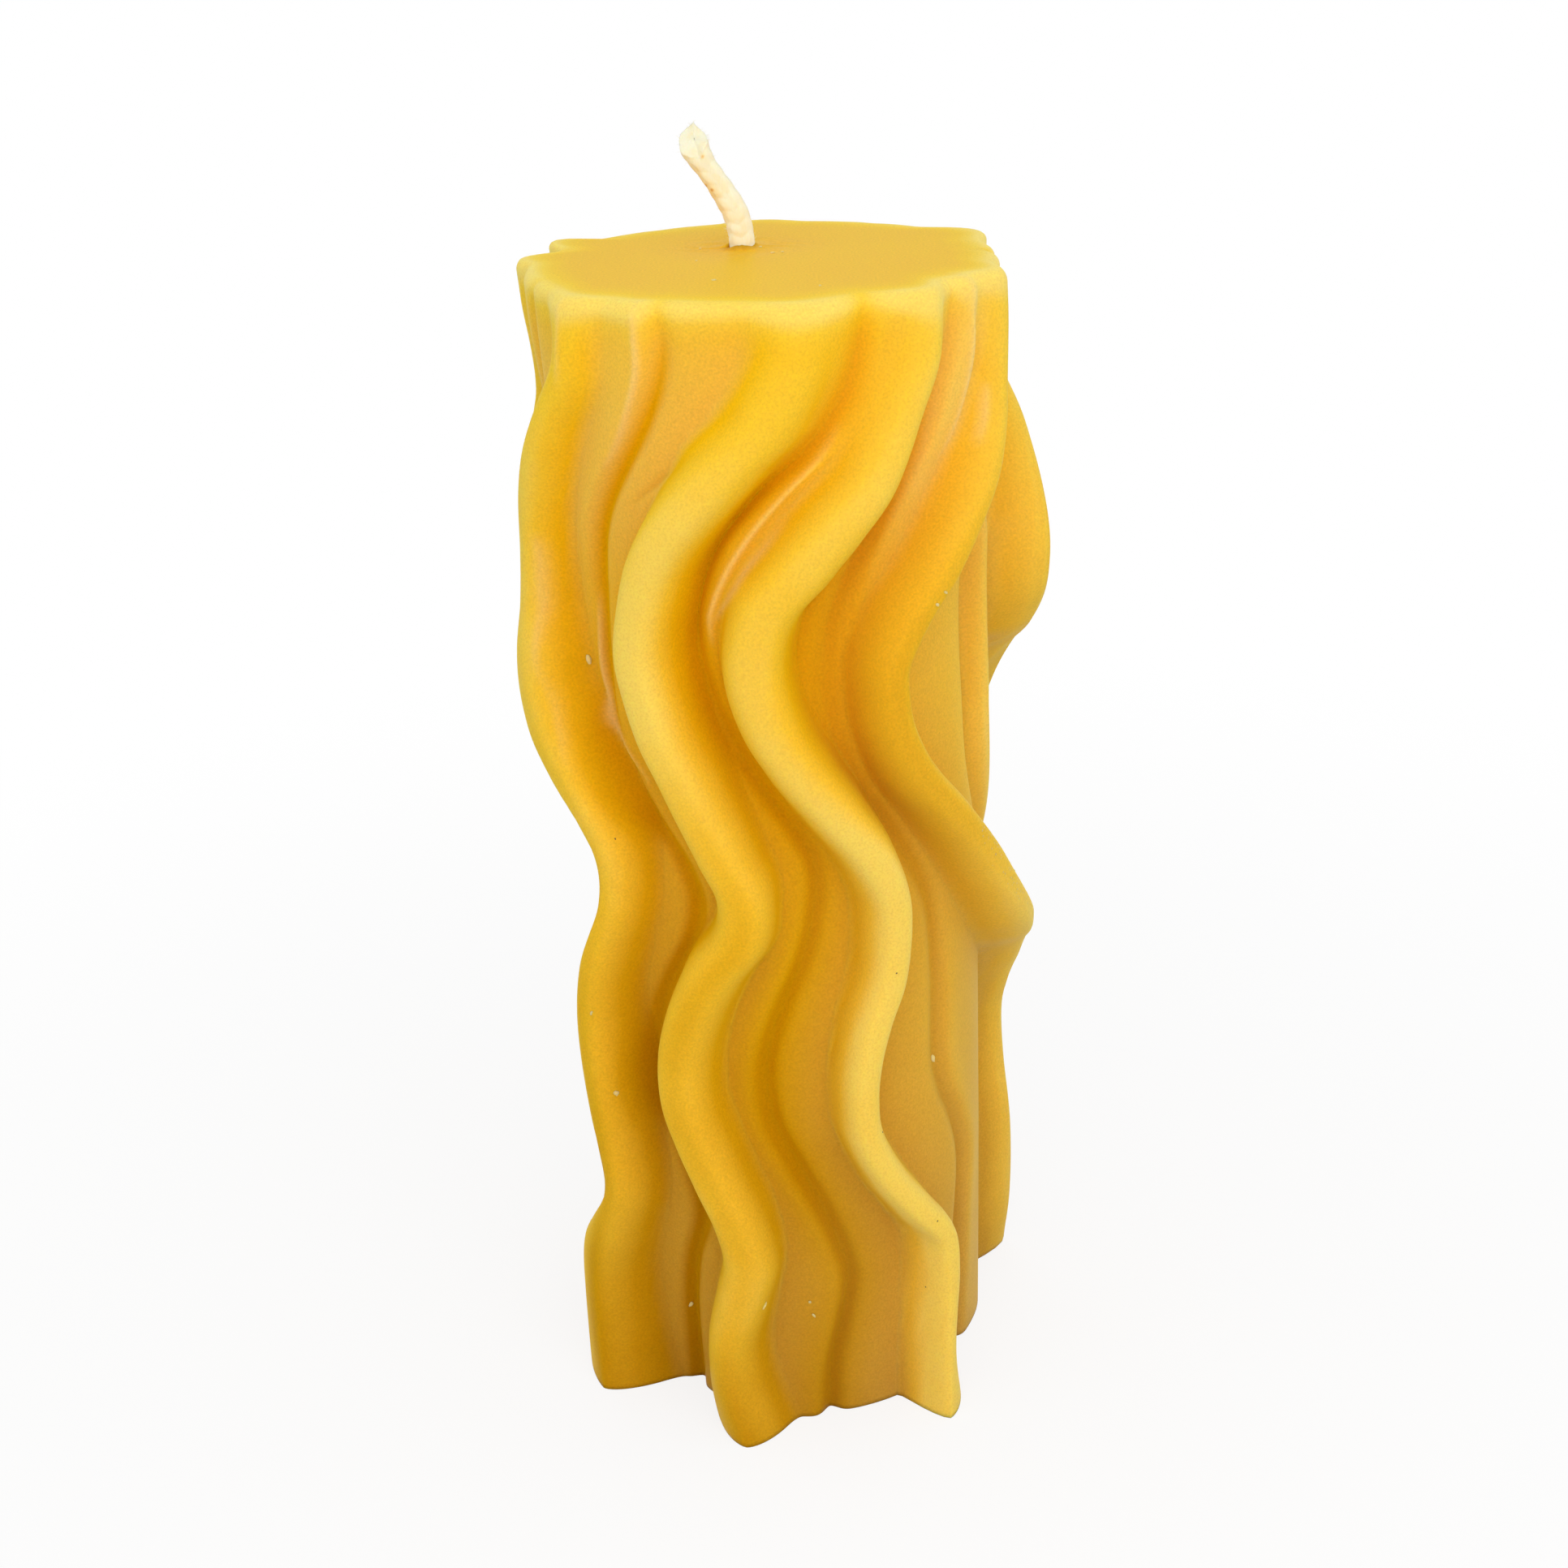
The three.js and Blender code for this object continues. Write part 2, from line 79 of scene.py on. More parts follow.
# Every line on the wax is a list of bends from the base up: [percent of the height, degrees
# round the candle from its front to the right]. The other lists give a value in place of the
# degrees. rise is the share of fin_stand that a crest has, and the flanks are a fin's width
# from its crest to each foot. glow is painted light along its crest or, below nought, painted
# shade there.
nowhere = [[0, 0], [100, 0]]
# Painted shade on the lower crests of the fins at the back.
back_crest_shade = [[0, -0.3], [30, -0.1], [60, 0], [100, 0]]
left_fin = {
    "crest": [
        [0, -56.5], [4, -57], [9, -57.5], [13.5, -56.5], [18, -52.5], [23, -48], [28, -49.5],
        [35, -52.5], [39, -53], [43, -51.5], [47, -48], [50.5, -44.5], [54.5, -44], [58, -48.5],
        [61, -56], [64, -64.5], [67.5, -71], [71, -72], [75, -72], [80, -70],
        [84, -66], [90, -57], [94.5, -49], [100, -48],
    ],
    "rise": [
        [0, 0.95], [44, 0.95], [52, 0.85], [60, 0.95], [64, 1], [70, 0.97], [74, 0.86], [79, 0.79],
        [84, 0.77], [88, 0.7], [92, 0.52], [100, 0.19],
    ],
    "left_flank": [
        [0, 0.021], [9, 0.013], [15, 0.0085], [22, 0.0024], [30, 0.0042], [38, 0.0042],
        [44, 0.0033], [50, 0.0022], [56, 0.003], [61, 0.006], [67, 0.0075], [72, 0.005],
        [78, 0.0042], [100, 0.005],
    ],
    "right_flank": [
        [0, 0.0045], [10, 0.004], [58, 0.004], [62, 0.0047], [66, 0.0063], [70, 0.006],
        [75, 0.0042], [100, 0.004],
    ],
    "glow": [[0, -0.35], [15, -0.4], [40, -0.3], [60, -0.1], [75, 0], [100, 0]],
}
front_fin = {
    "crest": [
        [0, -14], [5, -17.5], [9.5, -18], [14, -15], [18, -12.5], [22, -14.5], [26, -19],
        [30, -23.5], [33.5, -26.5], [37.5, -26.5], [41.5, -23.5], [45.5, -18], [49.5, -10.5],
        [53, -9.5], [56.5, -13.5], [60, -18], [63.5, -22.5], [66.5, -26.5], [70, -29.5],
        [73, -31], [76.5, -29.5], [80, -26.5], [83.5, -20.5], [88, -10], [91.5, -1], [95.5, 5],
        [100, 7],
    ],
    "rise": [[0, 0.93], [40, 0.95], [83, 0.95], [92, 0.6], [100, 0.2]],
    "left_flank": [[0, 0.007], [9, 0.005], [18, 0.0047], [80, 0.0047], [92, 0.0052], [100, 0.005]],
    "right_flank": [[0, 0.006], [9, 0.0045], [18, 0.0043], [80, 0.0043], [92, 0.0055], [100, 0.006]],
    "glow": [
        [0, -0.35], [8, -0.3], [14, -0.15], [33, -0.2], [48, -0.3], [58, -0.15], [68, 0], [100, 0],
    ],
}
front_right_fin = {
    "crest": [
        [0, 35], [7, 35.5], [11, 36], [15, 36.5], [18.5, 35.5], [22, 29], [25.5, 22.5],
        [30, 17], [34, 16], [37.5, 17], [41, 19.5], [44.5, 23], [48.5, 24.5], [52, 24],
        [56, 19.5], [60, 12], [63.5, 5], [67, -1], [70.5, -4.5], [73.5, -5], [77, -2],
        [80, 5], [82.5, 11.5], [86.5, 21.5], [91.5, 30], [95.5, 36], [100, 38],
    ],
    "rise": [[0, 1.02], [40, 0.95], [83, 0.93], [92, 0.6], [100, 0.25]],
    "left_flank": [
        [0, 0.0025], [15, 0.0024], [30, 0.0029], [50, 0.0035], [62, 0.0045], [100, 0.0048],
    ],
    "right_flank": [
        [0, 0.0085], [6, 0.005], [12, 0.004], [30, 0.0032], [50, 0.0035], [62, 0.0045],
        [79, 0.005], [100, 0.0035],
    ],
    "glow": [[0, 0.5], [14, 0.5], [25, 0.25], [48, 0.25], [60, 0.15], [75, 0], [100, 0]],
}
right_fin = {
    "crest": [
        [0, 115], [6.5, 112], [14.5, 112.5], [21.5, 116], [27, 116.5], [31, 112.5],
        [34, 107.5], [38, 98], [41.5, 84], [44.5, 73], [48.5, 62], [53.5, 51], [58, 41],
        [62, 32], [66, 26.5], [69.5, 25], [72, 25.5], [75.5, 31], [78.5, 38.5], [82.5, 47],
        [86.5, 55], [90.5, 61], [95.5, 64], [100, 66],
    ],
    "rise": [[0, 1.05], [34, 0.97], [39, 0.92], [46, 0.96], [83, 0.88], [92, 0.5], [100, 0.26]],
    "left_flank": [[0, 0.0042], [34, 0.0042], [44, 0.0036], [80, 0.0036], [100, 0.004]],
    "right_flank": [[0, 0.005], [44, 0.0036], [80, 0.0036], [100, 0.004]],
    "glow": [
        [0, -0.2], [30, -0.1], [45, -0.1], [60, -0.5], [74, -0.6], [85, -0.3], [95, 0], [100, 0],
    ],
}
right_back_fin = {
    "crest": [
        [0, 148], [6.5, 145], [13.5, 141], [20, 143], [26.5, 147], [33, 146], [40, 140],
        [46.5, 133], [54.5, 127.5], [61, 119.5], [65, 111], [69, 97.5], [73, 88.5], [77, 87],
        [81.5, 93], [86.5, 103], [90.5, 113], [94.5, 119], [100, 120],
    ],
    "rise": [[0, 1], [65, 1], [76, 1.14], [85, 0.8], [92, 0.38], [100, 0.43]],
    "left_flank": [[0, 0.0042], [80, 0.0042], [100, 0.0065]],
    "right_flank": [[0, 0.0042], [80, 0.0042], [100, 0.0065]],
    "glow": [[0, -0.3], [30, -0.1], [60, -0.3], [80, -0.4], [90, 0], [100, 0]],
}
back_fin = {
    "crest": [
        [0, 177], [12, 181], [20, 182], [28, 175], [36, 172], [44, 178], [52, 184], [60, 180],
        [68, 170], [76, 164], [84, 168], [92, 176], [100, 180],
    ],
    "rise": [[0, 1], [83, 1], [92, 0.6], [100, 0.25]],
    "left_flank": [[0, 0.0042], [80, 0.0042], [100, 0.005]],
    "right_flank": [[0, 0.0042], [80, 0.0042], [100, 0.005]],
    "glow": back_crest_shade,
}
back_left_fin = {
    "crest": [
        [0, 200], [12, 203], [20, 210], [28, 208], [36, 202], [44, 204], [52, 215], [60, 223],
        [68, 217], [76, 212], [84, 219], [92, 229], [100, 232.5],
    ],
    "rise": [[0, 1], [83, 1], [92, 0.65], [100, 0.62]],
    "left_flank": [[0, 0.0042], [80, 0.0042], [100, 0.003]],
    "right_flank": [[0, 0.0042], [80, 0.0042], [100, 0.005]],
    "glow": back_crest_shade,
}
left_back_fin = {
    "crest": [
        [0, 230], [6.5, 229], [13.5, 233], [20, 238], [26.5, 238], [33, 233], [40, 230],
        [46, 233], [52.5, 242], [58.5, 250], [64, 252], [69, 247], [76, 241], [82.5, 243],
        [88, 251], [93.5, 258], [100, 256],
    ],
    "rise": [[0, 1], [83, 0.9], [89, 0.4], [93, 0.22], [97, 0.26], [100, 0.32]],
    "left_flank": [[0, 0.0042], [80, 0.0042], [100, 0.004]],
    "right_flank": [[0, 0.0042], [80, 0.0042], [100, 0.004]],
    "glow": back_crest_shade,
}

# A crease of its own depth runs down each valley. lip is the low ridge beside it, on its right
# or, below nought, on its left. hollow is a broad dip under it, and shade is painted shade along
# the valley or, below nought, painted light.
left_valley = {
    "line": [
        [0, -40], [4, -39.5], [8, -39], [11, -38], [15, -35.3], [19, -30.5], [22, -30.5],
        [26.5, -35], [30.5, -41], [34.5, -43.5], [39.5, -41], [43.5, -34.5], [47, -28],
        [50.5, -25.5], [54, -29.5], [57.5, -38], [61, -46], [65.5, -53], [70, -54.5],
        [75, -54], [80, -52], [83, -48], [86, -41.5], [88.6, -35.4], [91.3, -30],
        [94, -26], [97, -24], [100, -25],
    ],
    "depth": [[0, 0.0016], [50, 0.0012], [80, 0.001], [95, 0.001], [100, 0.0003]],
    "lip": [[0, 0], [72, 0], [80, -0.0008], [90, -0.0014], [100, -0.0008]],
    "hollow": [[0, 0.0025], [12, 0.0012], [25, 0], [100, 0]],
    "shade": nowhere,
}
front_valley = {
    "line": [
        [0, 7.8], [5, 9], [9.5, 12.3], [13.8, 14.9], [17, 12.8], [21.3, 7.6], [25.6, 0.9],
        [30, -5.9], [34, -7.8], [37.4, -6.5], [41.5, -1.9], [45.8, 4.3], [50, 7.9],
        [54, 8.5], [57, 4], [60, -3], [65, -13], [70, -20], [75, -21.5], [79, -18], [82, -13],
        [84, -7.5], [86, -1], [88, 7], [90, 13], [92.5, 18], [96, 21.5], [100, 23.3],
    ],
    "depth": [[0, 0.0013], [55, 0.0012], [80, 0.001], [95, 0.001], [100, 0.0003]],
    "lip": [
        [0, -0.0006], [50, -0.0006], [58, 0], [70, 0], [75, 0.0012], [83, 0.0018],
        [92, 0.0013], [100, 0.0004],
    ],
    "hollow": nowhere,
    "shade": [[0, 0.15], [30, 0.1], [45, 0], [60, -0.15], [84, -0.12], [94, 0]],
}
front_right_valley = {
    "line": [
        [0, 63], [8.7, 61.8], [14, 61.3], [19.3, 62], [22, 61], [26, 56], [29.4, 50.4],
        [33, 47.3], [41, 47.3], [48, 45], [52, 39], [56, 30.5], [60, 22], [64.5, 15],
        [69, 12.5], [73, 13], [77, 17], [81, 24], [85, 32], [88.5, 39], [92, 44], [95.5, 47.8],
        [100, 49.5],
    ],
    "depth": [[0, 0.001], [50, 0.0009], [80, 0.001], [95, 0.0009], [100, 0.0003]],
    "lip": [[0, 0.0006], [40, 0.0005], [50, 0], [70, 0], [80, 0.001], [92, 0.0012], [100, 0.0006]],
    "hollow": [[0, 0.002], [12, 0.0008], [25, 0], [100, 0]],
    "shade": [[0, 0], [52, 0], [62, 0.25], [72, 0.4], [80, 0.25], [86, 0], [92, -0.25], [100, -0.2]],
}
right_valley = {
    "line": [
        [0, 131], [10, 129], [20, 131], [27, 132], [32, 128], [37, 118], [42, 105], [48, 90],
        [54, 77], [59, 70], [65, 67], [71, 65], [77, 66.5], [82, 72], [87, 81], [93, 89],
        [100, 91],
    ],
    "depth": [[0, 0.001], [55, 0.0008], [80, 0.0008], [95, 0.0008], [100, 0.0009]],
    "lip": [[0, 0], [42, 0], [50, 0.001], [60, 0.002], [77, 0.0018], [83, 0.0005], [100, 0]],
    "hollow": nowhere,
    "shade": [[0, 0], [42, 0], [52, -0.35], [65, -0.25], [78, -0.15], [86, 0]],
}
right_back_valley = {
    "line": [
        [0, 162], [12, 160], [20, 162], [28, 163], [36, 160], [44, 158], [52, 157], [61, 146],
        [69, 130], [76, 122], [84, 133], [92, 145], [100, 148],
    ],
    "depth": [[0, 0.0012], [93, 0.001], [100, 0.0003]],
    "lip": nowhere,
    "hollow": nowhere,
    "shade": nowhere,
}
back_valley = {
    "line": [
        [0, 188], [12, 192], [20, 196], [28, 191], [36, 187], [44, 191], [52, 200], [60, 202],
        [68, 193], [76, 187], [84, 193], [92, 204], [100, 208],
    ],
    "depth": [[0, 0.0008], [93, 0.0008], [100, 0.0003]],
    "lip": nowhere,
    "hollow": nowhere,
    "shade": nowhere,
}
back_left_valley = {
    "line": [
        [0, 215], [12, 218], [20, 224], [28, 222], [36, 216], [44, 218], [52, 229], [60, 237],
        [68, 232], [76, 227], [84, 232], [92, 245], [100, 247],
    ],
    "depth": [[0, 0.0008], [93, 0.0008], [100, 0.0003]],
    "lip": nowhere,
    "hollow": nowhere,
    "shade": nowhere,
}
left_back_valley = {
    "line": [
        [0, 266], [12, 272], [20, 277], [28, 270], [36, 264], [44, 270], [52, 281], [60, 279],
        [68, 271], [76, 264], [84, 270], [92, 282], [100, 288],
    ],
    "depth": [[0, 0.0012], [93, 0.0012], [100, 0.0003]],
    "lip": nowhere,
    "hollow": [[0, 0], [38, 0], [47, 0.0012], [56, 0], [100, 0]],
    "shade": nowhere,
}
fins = [
    left_fin, front_fin, front_right_fin, right_fin,
    right_back_fin, back_fin, back_left_fin, left_back_fin,
]
valleys = [
    left_valley, front_valley, front_right_valley, right_valley,
    right_back_valley, back_valley, back_left_valley, left_back_valley,
]
# Share of the way from the core's radius to the rim's.
shoulder = [[0, 0], [73, 0], [83, 0.17], [90, 0.52], [95.5, 0.86], [100, 1]]
# How full a fin is between its crest and its feet, from a slack fold to a wall with a round top.
fullness = [[0, 1.5], [8, 2], [18, 3], [80, 3], [92, 2.2], [100, 2]]
# A fin's fall is worked out to this many flanks from its crest, which is deep inside the core.
furthest_share = 4

# Fine lines that the mould left in the wax: ridges where the rise is above nought, scratched
# grooves where it is below. The rise is in metres, and the last value is how strong a painted
# highlight lies along a ridge.
fine_lines = [
    {
        "line": [
            [75.8, -16.2], [77.9, -13.6], [80.6, -9.1], [83.8, -1.9], [86.2, 4.9],
            [88.4, 11.9], [92, 19.5],
        ],
        "rise": [[73, 0], [77, 0.0005], [86, 0.0004], [91, 0]],
        "width": 0.0006,
        "bloom_and_sheen": 0.45,
    },
    {
        "line": [[75.5, -15], [77.2, -11.5], [79.8, -6.4], [82.3, 0], [85, 6.5]],
        "rise": [[75, 0], [77, 0.0003], [81, 0.0003], [84, 0]],
        "width": 0.0006,
        "bloom_and_sheen": 0.35,
    },
    {
        "line": [[61, -39], [63.1, -46.4], [65.2, -52], [68.5, -56], [72.7, -56.5], [78, -55]],
        "rise": [[60, 0], [64, 0.0006], [72, 0.0005], [76, 0]],
        "width": 0.0006,
        "bloom_and_sheen": 0.45,
    },
    {
        "line": [[84, -37], [86.5, -26.5], [88.5, -17.5], [90.8, -10], [93, -5.5], [95.5, -2]],
        "rise": [[83, 0], [86, -0.0004], [90, -0.0004], [94, 0]],
        "width": 0.0007,
        "bloom_and_sheen": 0,
    },
    {
        "line": [[86, 44], [88, 48.5], [91.3, 52.5], [95, 54], [100, 55]],
        "rise": [[86, 0], [90, 0.0006], [97, 0.0006], [100, 0.0002]],
        "width": 0.0008,
        "bloom_and_sheen": 0.35,
    },
    {
        "line": [[86, -46], [88.1, -40], [90.9, -34.5], [94.7, -29.7], [97.9, -29.2], [100, -29.5]],
        "rise": [[86, 0], [89, 0.0002], [97, 0.0003], [100, 0.0001]],
        "width": 0.0006,
        "bloom_and_sheen": 0.4,
    },
    {
        "line": [
            [61, -50], [63, -54.4], [66, -59.3], [68.8, -64.8], [71.3, -66], [75.3, -66.6],
            [80, -65.5],
        ],
        "rise": [[61, 0], [64, 0.0001], [69, 0.0001], [72, 0.0002], [79, 0.0002], [81, 0]],
        "width": 0.0006,
        "bloom_and_sheen": 0.35,
    },
    {
        "line": [[93, -48.7], [96.8, -49], [100, -49.6]],
        "rise": [[93, 0], [95, 0.0002], [99, 0.0002], [100, 0.0001]],
        "width": 0.0005,
        "bloom_and_sheen": 0.3,
    },
    {
        "line": [[92, 57], [95, 55.8], [98, 54.8]],
        "rise": [[91, 0], [93, -0.0003], [97, -0.0003], [98.5, 0]],
        "width": 0.0005,
        "bloom_and_sheen": 0,
    },
    {
        "line": [[87.7, 52], [89.5, 55], [91.3, 57.1]],
        "rise": [[87, 0], [88.5, 0.0003], [91, 0.0003], [92, 0]],
        "width": 0.0005,
        "bloom_and_sheen": 0.35,
    },
]


def at_height(bends, heights):
    """The value of a list of bends at each height, on a smooth curve through them."""
    places, values = np.array(bends, float).T
    slopes = np.empty(len(places))
    slopes[1:-1] = (values[2:] - values[:-2]) / (places[2:] - places[:-2])
    slopes[0] = (values[1] - values[0]) / (places[1] - places[0])
    slopes[-1] = (values[-1] - values[-2]) / (places[-1] - places[-2])
    heights = np.clip(heights, places[0], places[-1])
    below = np.clip(np.searchsorted(places, heights, side="right") - 1, 0, len(places) - 2)
    above = below + 1
    span = places[above] - places[below]
    part = (heights - places[below]) / span
    return (
        (2 * part**3 - 3 * part**2 + 1) * values[below]
        + (part**3 - 2 * part**2 + part) * span * slopes[below]
        + (3 * part**2 - 2 * part**3) * values[above]
        + (part**3 - part**2) * span * slopes[above]
    )


def bell(distance, width):
    """A smooth bump of height 1, which has fallen to about a third one width away."""
    return np.exp(-((distance / width) ** 2))


def across(angles, line, heights, radius):
    """Distance along the surface from a line to points at angles, one row to a height."""
    turn = (angles - at_height(line, heights)[:, None] + 180) % 360 - 180
    return np.radians(turn) * radius


def lengthening(line, heights, step=0.5):
    """How much wider a fin is measured level than square to its slanting line."""
    turn = np.radians(at_height(line, heights + step) - at_height(line, heights - step))
    lean = turn * (core_radius + fin_stand / 2) / (2 * step / 100 * candle_height)
    return np.hypot(1, lean)[:, None]


def blend_out(first, second):
    """The larger of two radii, with a fillet where they cross."""
    near = np.maximum(fillet_radius - np.abs(first - second), 0) / fillet_radius
    return np.maximum(first, second) + near**2 * fillet_radius / 4


def side_radius(angles, heights, folds=fins):
    """Radius of the candle's side at rows of angles, one row to a height in percent."""
    rise = at_height(shoulder, heights)[:, None]
    core = core_radius + (rim_radius - core_radius) * rise
    radius = core * np.ones_like(angles)
    full = at_height(fullness, heights)[:, None]
    for valley in valleys:
        apart = across(angles, valley["line"], heights, core_radius)
        lip = at_height(valley["lip"], heights)[:, None]
        beside = np.maximum(apart * np.sign(lip), 0) / lip_width
        radius += np.abs(lip) * beside**lip_fall * np.exp(lip_fall * (1 - beside))
        radius -= at_height(valley["depth"], heights)[:, None] * bell(apart, crease_width)
        radius -= at_height(valley["hollow"], heights)[:, None] * bell(apart, hollow_width)
    for fin in folds:
        stand = fin_stand * at_height(fin["rise"], heights)[:, None]
        slant = lengthening(fin["crest"], heights)
        apart = across(angles, fin["crest"], heights, core + fin_stand / 2) / slant
        left = at_height(fin["left_flank"], heights)[:, None]
        right = at_height(fin["right_flank"], heights)[:, None]
        share = np.minimum(np.abs(apart) / np.where(apart < 0, left, right), furthest_share)
        radius = blend_out(radius, core + stand * (1 - share**full))
    for mark in fine_lines:
        apart = across(angles, mark["line"], heights, core_radius)
        radius += at_height(mark["rise"], heights)[:, None] * bell(apart, mark["width"])
    return radius


# The wax is a grid of rings: up the side, over the rounded edge, in across the top, down the
# wick's hole and out across the base. Columns follow every crest and crease, closer together
# near the creases, and there are more of them on the front than on the back.
columns_front = 36
columns_back = 16
side_rows = 204
rim_rows = 8
top_rings = 20
base_rings = 5
crease_gather = 0.5
top_gather = 0.8
hole_rows = (0.145, 0.075)

# A lane of columns runs between each crest and the crease beside it.
guides = [line for fin, valley in zip(fins, valleys) for line in (fin["crest"], valley["line"])]
front_lanes = (0, 1, 2, 3, 4, 5, 6, 15)


def column_angles(heights):
    """Rows of column angles, one row to a height in percent."""
    columns = []
    for lane in range(len(guides)):
        count = columns_front if lane in front_lanes else columns_back
        even = np.arange(count) / count
        if lane % 2 == 0:
            gathered = np.sin(even * math.pi / 2)
        else:
            gathered = 1 - np.cos(even * math.pi / 2)
        share = (1 - crease_gather) * even + crease_gather * gathered
        start = at_height(guides[lane], heights)[:, None]
        last = lane == len(guides) - 1
        end = at_height(guides[0 if last else lane + 1], heights)[:, None] + 360 * last
        columns.append(start + (end - start) * share)
    return np.concatenate(columns, axis=1)


def ring_points(angles, radius, z):
    """Points at angles from the front, in degrees, and at radii from the axis."""
    turns = np.radians(angles)
    z = np.broadcast_to(z, turns.shape)
    return np.stack([radius * np.sin(turns), -radius * np.cos(turns), z], axis=-1)


def square_reach(angle, side):
    """Distance from the middle of a square with rounded corners to its edge."""
    return side / 2 / (np.cos(angle) ** 4 + np.sin(angle) ** 4) ** 0.25


def rim_inset(angles, z):
    """How far the rounded top edge is in from the side. It is rounded most at the front."""
    front = (1 + np.cos(np.radians(angles))) / 2
    rounding = back_rounding + (front_rounding - back_rounding) * front
    up = np.maximum(z - (candle_height - rounding), 0)
    return rounding - np.sqrt(np.maximum(rounding**2 - up**2, 0))


side_height = candle_height - front_rounding
side_z = side_height * np.linspace(0, 1, side_rows + 1)
turn = math.pi / 2 * np.arange(1, rim_rows + 1) / rim_rows
row_z = np.concatenate([side_z, side_height + front_rounding * np.sin(turn)])
row_heights = 100 * row_z / candle_height
angles = column_angles(row_heights)
radius = side_radius(angles, row_heights) - rim_inset(angles, row_z[:, None])
side = ring_points(angles, radius, row_z[:, None])

# The top face closes in from the edge to the wick's hole. It dips a little round the wick, where
# the wax sank as it set, is wrinkled there in bent rays and rings, and climbs the wick's foot.
# The wick's lean has pulled it off the wax on its left, which leaves a narrow gap.
meniscus_height = 0.0006
meniscus_reach = 0.0008
wrinkle_height = 0.00006
wrinkle_from_wick = 0.004
wrinkle_band = 0.003
wrinkle_rays = 5
ray_bends = 4
ray_swing = 3
wrinkle_rings = 1500
gap_width = 0.0006
gap_bearing = 3.5
gap_spread = 0.35
wick_foot = np.array([wick_aside, wick_back])
edge = side[-1, :, :2]
toward = edge - wick_foot
bearing = np.arctan2(toward[:, 1], toward[:, 0])
gap = gap_width * bell(bearing % (2 * math.pi) - gap_bearing, gap_spread)
reach = square_reach(bearing, wick_side) + gap
hole = wick_foot + reach[:, None] * toward / np.hypot(*toward.T)[:, None]
share = 1 - (np.arange(1, top_rings + 1) / top_rings) ** top_gather
top = hole + (edge - hole) * share[:, None, None]
away = np.hypot(top[..., 0] - wick_aside, top[..., 1] - wick_back)
dish = dish_depth * np.exp(-2 * (away / dish_radius) ** 2)
rays = wrinkle_rays * bearing + ray_swing * np.sin(ray_bends * bearing)
wrinkle = wrinkle_height * np.sin(rays + wrinkle_rings * away)
wrinkle *= bell(away - wrinkle_from_wick, wrinkle_band)
meniscus = meniscus_height * np.exp(-((away - wick_side / 2) / meniscus_reach))
top_z = candle_height - dish + wrinkle + meniscus
top = np.concatenate([top, top_z[..., None]], axis=-1)
hole_wall = [np.column_stack([hole, np.full(len(hole), z)]) for z in hole_rows]
base_share = np.arange(base_rings) / base_rings
base = hole + (side[0, :, :2] - hole) * base_share[:, None, None]
base = np.concatenate([base, np.zeros(base.shape[:2] + (1,))], axis=-1)
rings = np.concatenate([side, top, np.array(hole_wall), base])

# How far each point of the side stands out from the wax round it, from 0 deep between two
# fins to 1 on a full crest, painted as light and shade: crests pale, partly as thin wax passing
# light and partly as painted light, and hollows amber as painted shade. The creases get painted
# shade, the top face is painted darker as shade, more so round the wick, the wick's hole gets a
# hollow's painted shade, and the top edge gets a painted highlight.
steps_per_degree = 2
around = np.arange(360 * steps_per_degree) / steps_per_degree
level_count = 150
smooth_over = 0.0055
stand_range = 0.0105
full_crease_depth = 0.001
crease_shade = 0.3
crease_shade_width = 0.0012
valley_shade_width = 0.0045
crest_light_and_shade_width = 0.0026
rim_highlight = 0.6
rim_highlight_width = 0.0028
top_shade_tone = 0.2
wick_shade = 0.25
wick_shade_width = 0.008
hole_tone = 0.1
base_tone = 0.5


def blurred(grid, axis, steps):
    """The grid smoothed along an axis, which meets itself across the columns."""
    reach = int(3 * steps) + 1
    shifts = np.arange(-reach, reach + 1)
    weights = bell(shifts, math.sqrt(2) * steps)
    total = np.zeros_like(grid)
    for shift, weight in zip(shifts, weights / weights.sum()):
        if axis == 1:
            total += weight * np.roll(grid, shift, axis=1)
        else:
            rows = np.clip(np.arange(len(grid)) + shift, 0, len(grid) - 1)
            total += weight * grid[rows]
    return total


level_shares = np.linspace(0, 1, level_count)
even = side_radius(np.tile(around, (level_count, 1)), 100 * level_shares)
even = blurred(even, 1, steps_per_degree * math.degrees(smooth_over / core_radius))
even = blurred(even, 0, smooth_over / candle_height * level_count)
standing = np.empty(angles.shape)
for row, height in enumerate(row_heights / 100):
    below = min(int(height * (level_count - 1)), level_count - 2)
    part = height * (level_count - 1) - below
    mean = (1 - part) * even[below] + part * even[below + 1]
    standing[row] = radius[row] - np.interp(angles[row] % 360, around, mean, period=360)
light_and_shade = 0.5 + standing / stand_range
# Painted shade in each crease, and each valley's painted shade or, below nought, painted light.
for valley in valleys:
    apart = across(angles, valley["line"], row_heights, core_radius)
    deep = at_height(valley["depth"], row_heights)[:, None] / full_crease_depth
    light_and_shade -= crease_shade * deep * bell(apart, crease_shade_width)
    light_and_shade -= at_height(valley["shade"], row_heights)[:, None] * bell(apart, valley_shade_width)
# Painted light along each crest or, where its glow is below nought, painted shade.
crest_light_and_shade = np.zeros_like(light_and_shade)
for fin in fins:
    slant = lengthening(fin["crest"], row_heights)
    apart = across(angles, fin["crest"], row_heights, core_radius + fin_stand) / slant
    crest_light_and_shade += at_height(fin["glow"], row_heights)[:, None] * bell(apart, crest_light_and_shade_width)
light_and_shade += crest_light_and_shade
# A painted highlight along the top edge.
light_and_shade += rim_highlight * bell(candle_height - row_z, rim_highlight_width)[:, None]
light_and_shade = np.clip(light_and_shade, 0, 1)
inward = np.hypot(*np.moveaxis(edge - top[..., :2], -1, 0))
